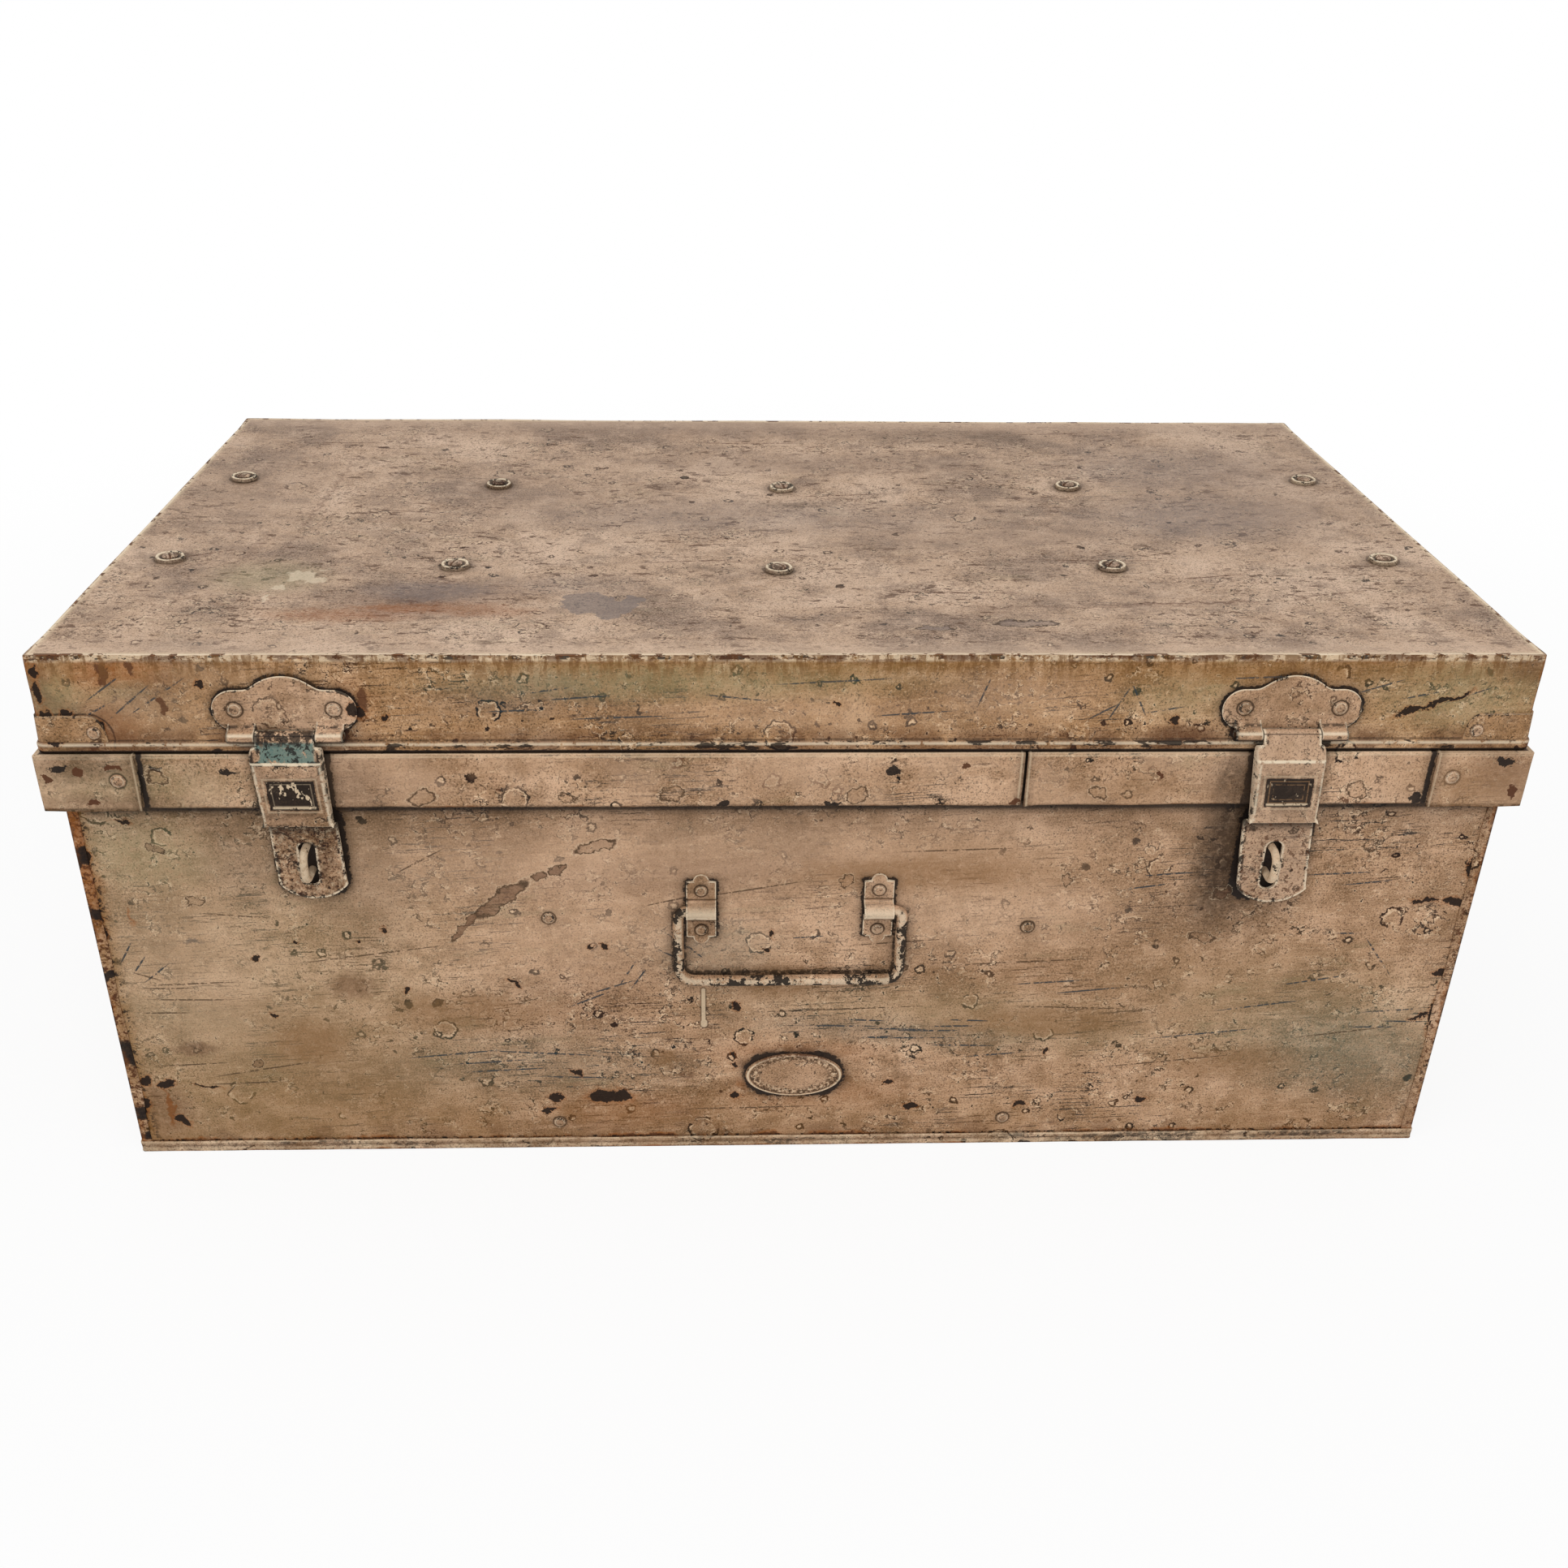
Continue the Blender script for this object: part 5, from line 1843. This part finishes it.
class DEEDBOX_OT_hasps(bpy.types.Operator):
    """The two swinging hasps, their pins and the staples they drop over"""

    bl_idname = "deedbox.hasps"
    bl_label = "Hasps and staples"

    def execute(self, context):
        _, sizes, _ = settings()
        for seed, (hand, hasp) in enumerate(HASPS.items()):
            grid, split, wear, blank = hasp_grid(hasp, 90 + seed, sizes.dents)
            rows, columns = grid.shape[:2]
            quads = grid_quads(rows, columns)
            quads = quads[quads[:, 0] % columns != split - 1]
            make_piece(
                f"hasp_sheet_{hand}", grid, quads, f"hasp_{hand}", "fitting_paint", [material(f"hasp_{hand}")],
                [f"hasp_{hand}"], thickness=1.5, offset=0, bevel=0.35, middle=(hasp["x"], -195, 245), merge=True,
                sharp=60,
                values={"wear": wear, "blank": blank},
            )
            x, z = hasp["staple"][0] - (1.2 if hand == "right" else 0.0), hasp["staple"][1]
            path = rounded_path(
                [
                    (x, -198.8, z + 16.7), (x, -198.8, z + 8.7), (x, -217.4, z + 8.7), (x, -217.4, z - 8.7),
                    (x, -198.8, z - 8.7), (x, -198.8, z - 16.7),
                ],
                [2.2, 6.0, 6.0, 2.2], 0.7,
            )
            points, faces = tube(path, (1, 0, 0), 2.08 - 0.06 * abs(ripple(path[:, 2], path[:, 1], 95 + seed, 9)))
            outside = np.append(tube_outside(path, (x, -200, z), (1, 0, 0), 18).ravel(), [0, 0])
            make_piece(
                f"staple_bar_{hand}", points, faces, "trunk", "fitting_paint", [material("bail")], [f"staple_{hand}"],
                closed=True, values={"wear": 0.25 + 0.3 * soft_step(outside, -0.25, 0.5)},
            )
        return {"FINISHED"}


# ---------------------------------------------------------------- handle, badge and rivets
class DEEDBOX_OT_handle(bpy.types.Operator):
    """The bail handle and the two pressed brackets that hold it"""

    bl_idname = "deedbox.handle"
    bl_label = "Handle"

    def execute(self, context):
        _, sizes, _ = settings()
        out, axis = HANDLE_AXIS
        low = axis - 46.1
        path = rounded_path(
            [
                (-41.7, axis), (-61.3, axis), (-61.3, low), (61.3, low), (61.3, axis), (41.1, axis),
            ], [4.0, 8.5, 8.5, 4.0], 0.9
        )
        sway = 0.35 * ripple(path[:, 0], path[:, 1], 101, 60)
        sway = sway * soft_step(axis - path[:, 1], 2, 12)
        path = np.stack([path[:, 0] + sway, np.full(len(path), -out), path[:, 1] + 0.6 * sway], -1)
        points, faces = tube(path, (0, 1, 0), 3.05 - 0.1 * abs(ripple(path[:, 0], path[:, 2], 102, 14)), 20)
        outside = np.append(tube_outside(path, (0, -out, axis + 20), (0, 1, 0), 20).ravel(), [0, 0])
        make_piece(
            "bail", points, faces, "handle", "fitting_paint", [material("bail")], ["handle_bail"], closed=True,
            values={"wear": soft_step(outside, -0.25, 0.5)},
        )
        for seed, (hand, x) in enumerate(BRACKETS.items()):
            face, tube_radius = WALL_Y + 1.2, 4.5
            arch = arc((out, axis), tube_radius, 90, -90, 16)
            upper = rounded_path([(face, 191.6), (face, axis + tube_radius), tuple(arch[0])], [1.2], 0.5)
            section = np.concatenate([upper[:-1], arch[:-1], [(o, 2 * axis - z) for o, z in upper[::-1]]])
            heights = section[:, 1]
            over = np.maximum(heights - 187.2, 151.4 - heights)
            half = np.where(over <= 0, 8.1, np.sqrt(np.maximum(4.4**2 - np.maximum(over, 0) ** 2, 0)))
            share = np.sin(np.linspace(-1, 1, 25) * math.pi / 2)
            across = half[:, None] * share
            o = np.broadcast_to(section[:, :1], across.shape) + sizes.dents * ripple(
                across, heights[:, None], 104 + seed, 12,
            )
            edge = np.minimum(half[:, None] - abs(across), np.maximum(-over, 0)[:, None] + 2.0 * (abs(across) < 4))
            grid = on_side("front", x + across, o, np.broadcast_to(heights[:, None], across.shape))
            make_sheet(
                f"bracket_{hand}", grid, "trunk", "fitting_paint", material("plate"),
                replaced=[f"handle_bracket_{hand}"],
                thickness=1.15, bevel=0.25, merge=True, values={"wear": np.exp(-edge / 0.7)}, sharp=60,
            )
        return {"FINISHED"}


class DEEDBOX_OT_badge(bpy.types.Operator):
    """The bare oval plate: a raised rim round a slightly domed field"""

    bl_idname = "deedbox.badge"
    bl_label = "Oval plate"

    def execute(self, context):
        profile = np.array(
            [(0.0, 1.05), (0.2, 1.04), (0.4, 1.0), (0.6, 0.95), (0.76, 0.9), (0.86, 0.86), (0.885, 0.9), (0.9, 1.25),
             (0.925, 1.55), (0.955, 1.6), (0.98, 1.45), (0.995, 1.0), (1.0, 0.5), (1.0, 0.0)]
        )
        turn = np.linspace(0, 2 * math.pi, 96, endpoint=False)
        share = profile[:, :1]
        across, up = BADGE_HALF[0] * share * np.cos(turn), BADGE_HALF[1] * share * np.sin(turn)
        lift = WALL_Y + profile[:, 1:] + 0.05 * ripple(across, up, 110, 8)
        grid = on_side("front", BADGE[0] + across, lift, BADGE[1] + up)
        wear = np.broadcast_to(np.exp(-(((share - 0.955) / 0.03) ** 2)), across.shape)
        make_piece(
            "oval_plate", grid, grid_quads(*grid.shape[:2], wrap=True), "trunk", "fitting_paint", [material("badge")],
            ["badge_plate"], middle=(BADGE[0], -190, BADGE[1]), merge=True, values={"wear": wear * 0.8}, sharp=60,
        )
        return {"FINISHED"}


class DEEDBOX_OT_rivets(bpy.types.Operator):
    """Every rivet and pin head, as turned shapes"""

    bl_idname = "deedbox.rivets"
    bl_label = "Rivets"

    def execute(self, context):
        slope = LID_FLARE / (LID_TOP - LID_FOOT)

        def on(side, along, out, height, lean=0.0):
            return on_side(side, along, out, height), on_side(side, 0.0, 1.0, lean)

        def on_lid(side, along, height, above):
            half = LID_Y if side in ("front", "back") else LID_X
            return on(side, along, half + float(lid_wall(height)) + above, height, slope)

        pair, sides, ends = (-1, 1), ("front", "back"), ("left", "right")
        handle = [on("front", x, WALL_Y + 1.2, z) for x in BRACKETS.values() for z in BRACKET_RIVETS]
        floor = [on(s, x, WALL_Y, z) for s in sides for x, z in FLOOR_RIVETS]
        pins = [on("front", BADGE[0] + s, WALL_Y + 0.85, BADGE[1]) for s in (-24, 24)]
        along, along_end, level = CORNER_RIVET
        band = [on(s, x * along, BAND_Y + SHEET, level) for s in sides for x in pair]
        band += [on(s, y * along_end, BAND_X + SHEET, level) for s in ends for y in pair]
        corner = [on_lid(s, x * 354, 280.4, SHEET) for s in sides for x in pair]
        corner += [on_lid(s, y * 178, 280.4, SHEET) for s in ends for y in pair]
        plate = [on_lid("front", h["x"] + s * PLATE_RIVET, PLATE_HEIGHT, 1.3) for h in HASPS.values() for s in pair]
        hinge = [x + s for x in (-225, 225) for s in (-17, 17)]
        groups = {
            "handle_rivets": (dome(3.5, 1.5, 3.2), handle, "rivet"),
            "backing_strap_rivets": (
                dome(3.7, 1.2, 2.0), [on("front", x, WALL_Y, z) for x, z in STRAP_RIVETS], "rivet"
            ),
            "floor_strap_rivets": (dome(3.7, 1.2, 2.0), floor, "rivet"),
            "badge_pins": (dome(1.9, 0.7, 1.6, 2.0), pins, "badge"),
            "band_corner_rivets": (dome(4.1, 1.3, 1.6), band, "rivet"),
            "lid_corner_rivets": (dome(3.6, 1.5, 1.6), corner, "rivet"),
            "hasp_plate_rivets": (dome(4.0, 1.3, 2.1), plate, "rivet"),
            "hinge_body_rivets": (dome(3.4, 1.2, 2.0), [on("back", x, BAND_Y + 1.2, 249) for x in hinge], "rivet"),
            "hinge_lid_rivets": (dome(3.4, 1.2, 2.0), [on_lid("back", x, 294, 1.2) for x in hinge], "rivet"),
        }
        lid_owned = ("lid_corner_rivets", "hasp_plate_rivets", "hinge_lid_rivets")
        for name, (profile, places, finish) in groups.items():
            points, faces = turned(profile, places)
            share = np.tile(np.repeat(profile[:, 0] / profile[:, 0].max(), 28), len(places))
            make_piece(
                name.replace("rivets", "rivet_heads").replace("pins", "pin_heads"), points, faces,
                "lid" if name in lid_owned else "trunk", "fitting_paint", [material(finish)], [name], closed=True,
                merge=True,
                values={"wear": np.exp(-(((share - 0.7) / 0.15) ** 2)) * 0.7, "blank": soft_step(share, 0.88, 0.97)},
            )
        return {"FINISHED"}


def slotted_head(radius, crown, base, slot_half, slot_depth, bite):
    """Polar points of a round screw head, its shank below: a dome, cut along X by a slot with steep sides."""
    share = np.array([0, 0.08, 0.15, 0.22, 0.3, 0.4, 0.5, 0.6, 0.7, 0.8, 0.9, 0.97, 1.0])
    turn = np.linspace(0, 2 * math.pi, 64, endpoint=False)
    across, up = radius * np.outer(share, np.cos(turn)), radius * np.outer(share, np.sin(turn))
    height = base + (crown - base) * np.sqrt(np.maximum(1 - 0.94 * share[:, None] ** 2, 0))
    slot = soft_step(abs(up), slot_half + 0.22, slot_half - 0.12)
    height = np.maximum(height - slot * slot_depth, base)
    below = [(radius * 0.96, base - 0.35), (2.0, base - 0.4), (2.0, -bite), (0.0, -bite)]
    rings = [np.stack([across, up, height], -1)]
    for r, z in below:
        rings.append(np.stack([r * np.cos(turn), r * np.sin(turn), np.full(64, z)], -1)[None])
    return np.concatenate(rings), slot


class DEEDBOX_OT_screws(bpy.types.Operator):
    """Saucer-shaped washers and slotted screws on the lid"""

    bl_idname = "deedbox.screws"
    bl_label = "Screws and washers"

    def execute(self, context):
        _, sizes, _ = settings()
        saucer = np.array(
            [(2.2, 0.9), (
                3.6, 0.95,
            ), (4.8, 1.0), (5.6, 1.35), (6.4, 2.0), (6.9, 2.2), (7.5, 2.15), (8.0, 1.6), (8.3, 0.7),
             (8.3, 0.02), (2.2, 0.02)]
        )
        draw = np.random.default_rng(7)
        places = []
        for x, y in SCREWS:
            slope_x = 2 * sizes.dish * x / LID_X**2 * (1 - (y / LID_Y) ** 2)
            slope_y = 2 * sizes.dish * y / LID_Y**2 * (1 - (x / LID_X) ** 2)
            places.append(((x, y, float(panel_height(x, y, sizes.dish)) + 0.1), (-slope_x, -slope_y, 1.0)))
        points, faces = turned(np.concatenate([saucer, saucer[:1]]), places, 40)
        ring = np.tile(np.repeat(np.append(saucer[:, 0], saucer[0, 0]), 40), len(places))
        shape = points.reshape(len(places), -1, 3)
        for index, place in enumerate(places):
            off = shape[index] - place[0]
            shape[index, :, 2] += 0.22 * ripple(
                off[:, 0], off[:, 1], 130 + index, 9,
            ) * soft_step(ring[: off.shape[0]], 5, 8)
        make_piece(
            "saucer_washers", shape, faces, "lid", "fitting_paint", [material("washer")], ["cup_washers"], closed=True,
            merge=True, values={
                "wear": np.exp(-(((ring - 7.0) / 0.9) ** 2)),
                "blank": np.maximum(soft_step(ring, 6.3, 5.4), 0.6 * soft_step(ring, 7.7, 8.1)),
            },
        )
        head, slot = slotted_head(4.3, 3.65, 1.4, 0.5, 0.9, SHEET + 11.0)
        rows = head.shape[0]
        all_points, all_faces, all_slots = [], [], []
        quads = grid_quads(rows, 64, wrap=True)
        for index, (origin, normal) in enumerate(places):
            turn = draw.uniform(0, math.pi)
            spin = np.array([[math.cos(turn), math.sin(turn), 0], [-math.sin(turn), math.cos(turn), 0], [0, 0, 1]])
            size = 1 + 0.03 * draw.standard_normal()
            body = head.reshape(-1, 3) @ spin * (size, size, 1.0)
            body[:, :2] += 0.08 * draw.standard_normal(2)
            all_faces.append(quads + index * len(body))
            all_points.append(body + origin)
            all_slots.append(np.append(slot.ravel(), np.zeros(4 * 64)))
        heads = np.concatenate(all_points)
        edge = np.tile(np.append(np.repeat(np.linspace(0, 1, rows - 4), 64), np.ones(4 * 64)), len(places))
        make_piece(
            "slotted_screws", heads, np.concatenate(all_faces), "lid", "bare_steel", [material("screw")],
            ["batten_screws"],
            closed=True, merge=True, sharp=30,
            values={
                "wear": 0.5 * soft_step(edge, 0.8, 0.4) * (1 - np.concatenate(all_slots)),
                "blank": np.concatenate(all_slots),
            },
        )
        return {"FINISHED"}


class DEEDBOX_OT_kept(bpy.types.Operator):
    """Paint for the solids that are shown as they are"""

    bl_idname = "deedbox.kept"
    bl_label = "Paint kept solids"

    def execute(self, context):
        finishes = {
            "steel": ("hasp_pin_left", "hasp_pin_right", "hinge_pin_left", "hinge_pin_right"),
            "wood": ("lid_batten_front", "lid_batten_back"),
            "plate": ("hinge_body_leaf_left", "hinge_body_leaf_right", "hinge_lid_leaf_left", "hinge_lid_leaf_right"),
            "inner": (
                "handle_backing_strap", "floor_strap_left", "floor_strap_right", "staple_backing_plate_left",
                "staple_backing_plate_right",
            ),
        }
        for finish, names in finishes.items():
            for name in names:
                mesh = NODES[name].data
                mesh.materials.clear()
                mesh.materials.append(material(finish))
        return {"FINISHED"}


# ---------------------------------------------------------------- stage
class DEEDBOX_OT_stage(bpy.types.Operator):
    """Pale floor, even light, soft lamps and the camera"""

    bl_idname = "deedbox.stage"
    bl_label = "Stage"

    def execute(self, context):
        _, _, stage = settings()
        scene = context.scene
        scene.view_settings.view_transform = "Standard"
        world = bpy.data.worlds.new("pale_room")
        scene.world = world
        net = fresh_net(world)
        path = net.node("ShaderNodeLightPath", {}, None)
        seen = net.most(path["Is Camera Ray"], path["Is Glossy Ray"], path["Is Transmission Ray"])
        even = net.node("ShaderNodeBackground", {"Color": (1, 1, 1), "Strength": stage.sky})
        white = net.node("ShaderNodeBackground", {"Color": (1, 1, 1), "Strength": 1.0})
        net.node("ShaderNodeOutputWorld", {0: net.node("ShaderNodeMixShader", {0: seen, 1: even, 2: white})}, None)

        floor_mesh = bpy.data.meshes.new("floor")
        reach = 6.0
        floor_mesh.from_pydata(
            [(-reach, -reach, 0), (reach, -reach, 0), (reach, reach, 0), (-reach, reach, 0)], [], [(0, 1, 2, 3)],
        )
        floor = bpy.data.objects.new("floor", floor_mesh)
        scene.collection.objects.link(floor)
        finish = bpy.data.materials.new("floor_white")
        net = fresh_net(finish)
        path = net.node("ShaderNodeLightPath", {}, None)
        matt = net.node("ShaderNodeBsdfDiffuse", {"Color": (0.9, 0.9, 0.9)})
        glow = net.node("ShaderNodeEmission", {"Color": (1, 1, 1), "Strength": 1.0})
        seen = net.most(path["Is Camera Ray"], path["Is Glossy Ray"])
        away = net.vector("LENGTH", net.node("ShaderNodeTexCoord", {}, "Object"), None, 1)
        share = net.times(seen, net.ramp(away, 0.5, 1.5, 0.88, 1.0))
        net.node("ShaderNodeOutputMaterial", {0: net.node("ShaderNodeMixShader", {0: share, 1: matt, 2: glow})}, None)
        floor_mesh.materials.append(finish)

        for name, power, size, place, aim in (
            ("key_lamp", stage.lamp, 1.6, (-0.25, -0.9, 2.1), (0, -0.05, 0.2)),
            ("fill_lamp", stage.fill, 1.8, (0.4, -2.4, 0.9), (0, 0, 0.15)),
        ):
            lamp = bpy.data.lights.new(name, "AREA")
            lamp.energy, lamp.shape, lamp.size = power, "DISK", size
            holder = bpy.data.objects.new(name, lamp)
            holder.matrix_world = Matrix.Translation(place) @ (
                Vector(place) - Vector(aim)
            ).to_track_quat("Z", "Y").to_matrix().to_4x4()
            scene.collection.objects.link(holder)

        view = bpy.data.cameras.new("view")
        view.sensor_width, view.lens = 36.0, stage.lens
        view.shift_x, view.shift_y = 0.01052, -0.03432
        view.clip_start, view.clip_end = 0.01, 50.0
        camera = bpy.data.objects.new("view", view)
        heading, tilt, roll = math.radians(-2.07157), math.radians(90 - 27.65579), math.radians(0.85116)
        turn = Matrix.Rotation(heading, 4, "Z") @ Matrix.Rotation(tilt, 4, "X") @ Matrix.Rotation(roll, 4, "Z")
        camera.matrix_world = Matrix.Translation((-0.039326, -0.903373, 0.646408)) @ turn
        scene.collection.objects.link(camera)
        scene.camera = camera
        return {"FINISHED"}


class DEEDBOX_PT_panel(bpy.types.Panel):
    """Buttons and settings of the deed box in the sidebar"""

    bl_idname = "DEEDBOX_PT_panel"
    bl_label = "Deed box"
    bl_space_type = "VIEW_3D"
    bl_region_type = "UI"
    bl_category = "Deed box"

    def draw(self, context):
        for operator in OPERATORS:
            self.layout.operator(operator.bl_idname)
        for group in settings():
            box = self.layout.box()
            for key in group.__annotations__:
                box.prop(group, key)


OPERATORS = (
    DEEDBOX_OT_stage, DEEDBOX_OT_bottom, DEEDBOX_OT_walls, DEEDBOX_OT_band, DEEDBOX_OT_lid, DEEDBOX_OT_lid_corners,
    DEEDBOX_OT_hinge_plates, DEEDBOX_OT_hasps, DEEDBOX_OT_handle, DEEDBOX_OT_badge, DEEDBOX_OT_rivets,
    DEEDBOX_OT_screws, DEEDBOX_OT_kept,
)
GROUPS = {"deed_colours": DeedBoxColours, "deed_sizes": DeedBoxSizes, "deed_stage": DeedBoxStage}


def register():
    for item in (*GROUPS.values(), *OPERATORS, DEEDBOX_PT_panel):
        bpy.utils.register_class(item)
    for name, item in GROUPS.items():
        setattr(bpy.types.Scene, name, bpy.props.PointerProperty(type=item))


def unregister():
    for name in GROUPS:
        delattr(bpy.types.Scene, name)
    for item in (DEEDBOX_PT_panel, *reversed(OPERATORS), *GROUPS.values()):
        bpy.utils.unregister_class(item)


def main():
    register()
    for operator in OPERATORS:
        group, call = operator.bl_idname.split(".")
        getattr(getattr(bpy.ops, group), call)()
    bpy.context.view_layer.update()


if __name__ == "__main__":
    main()
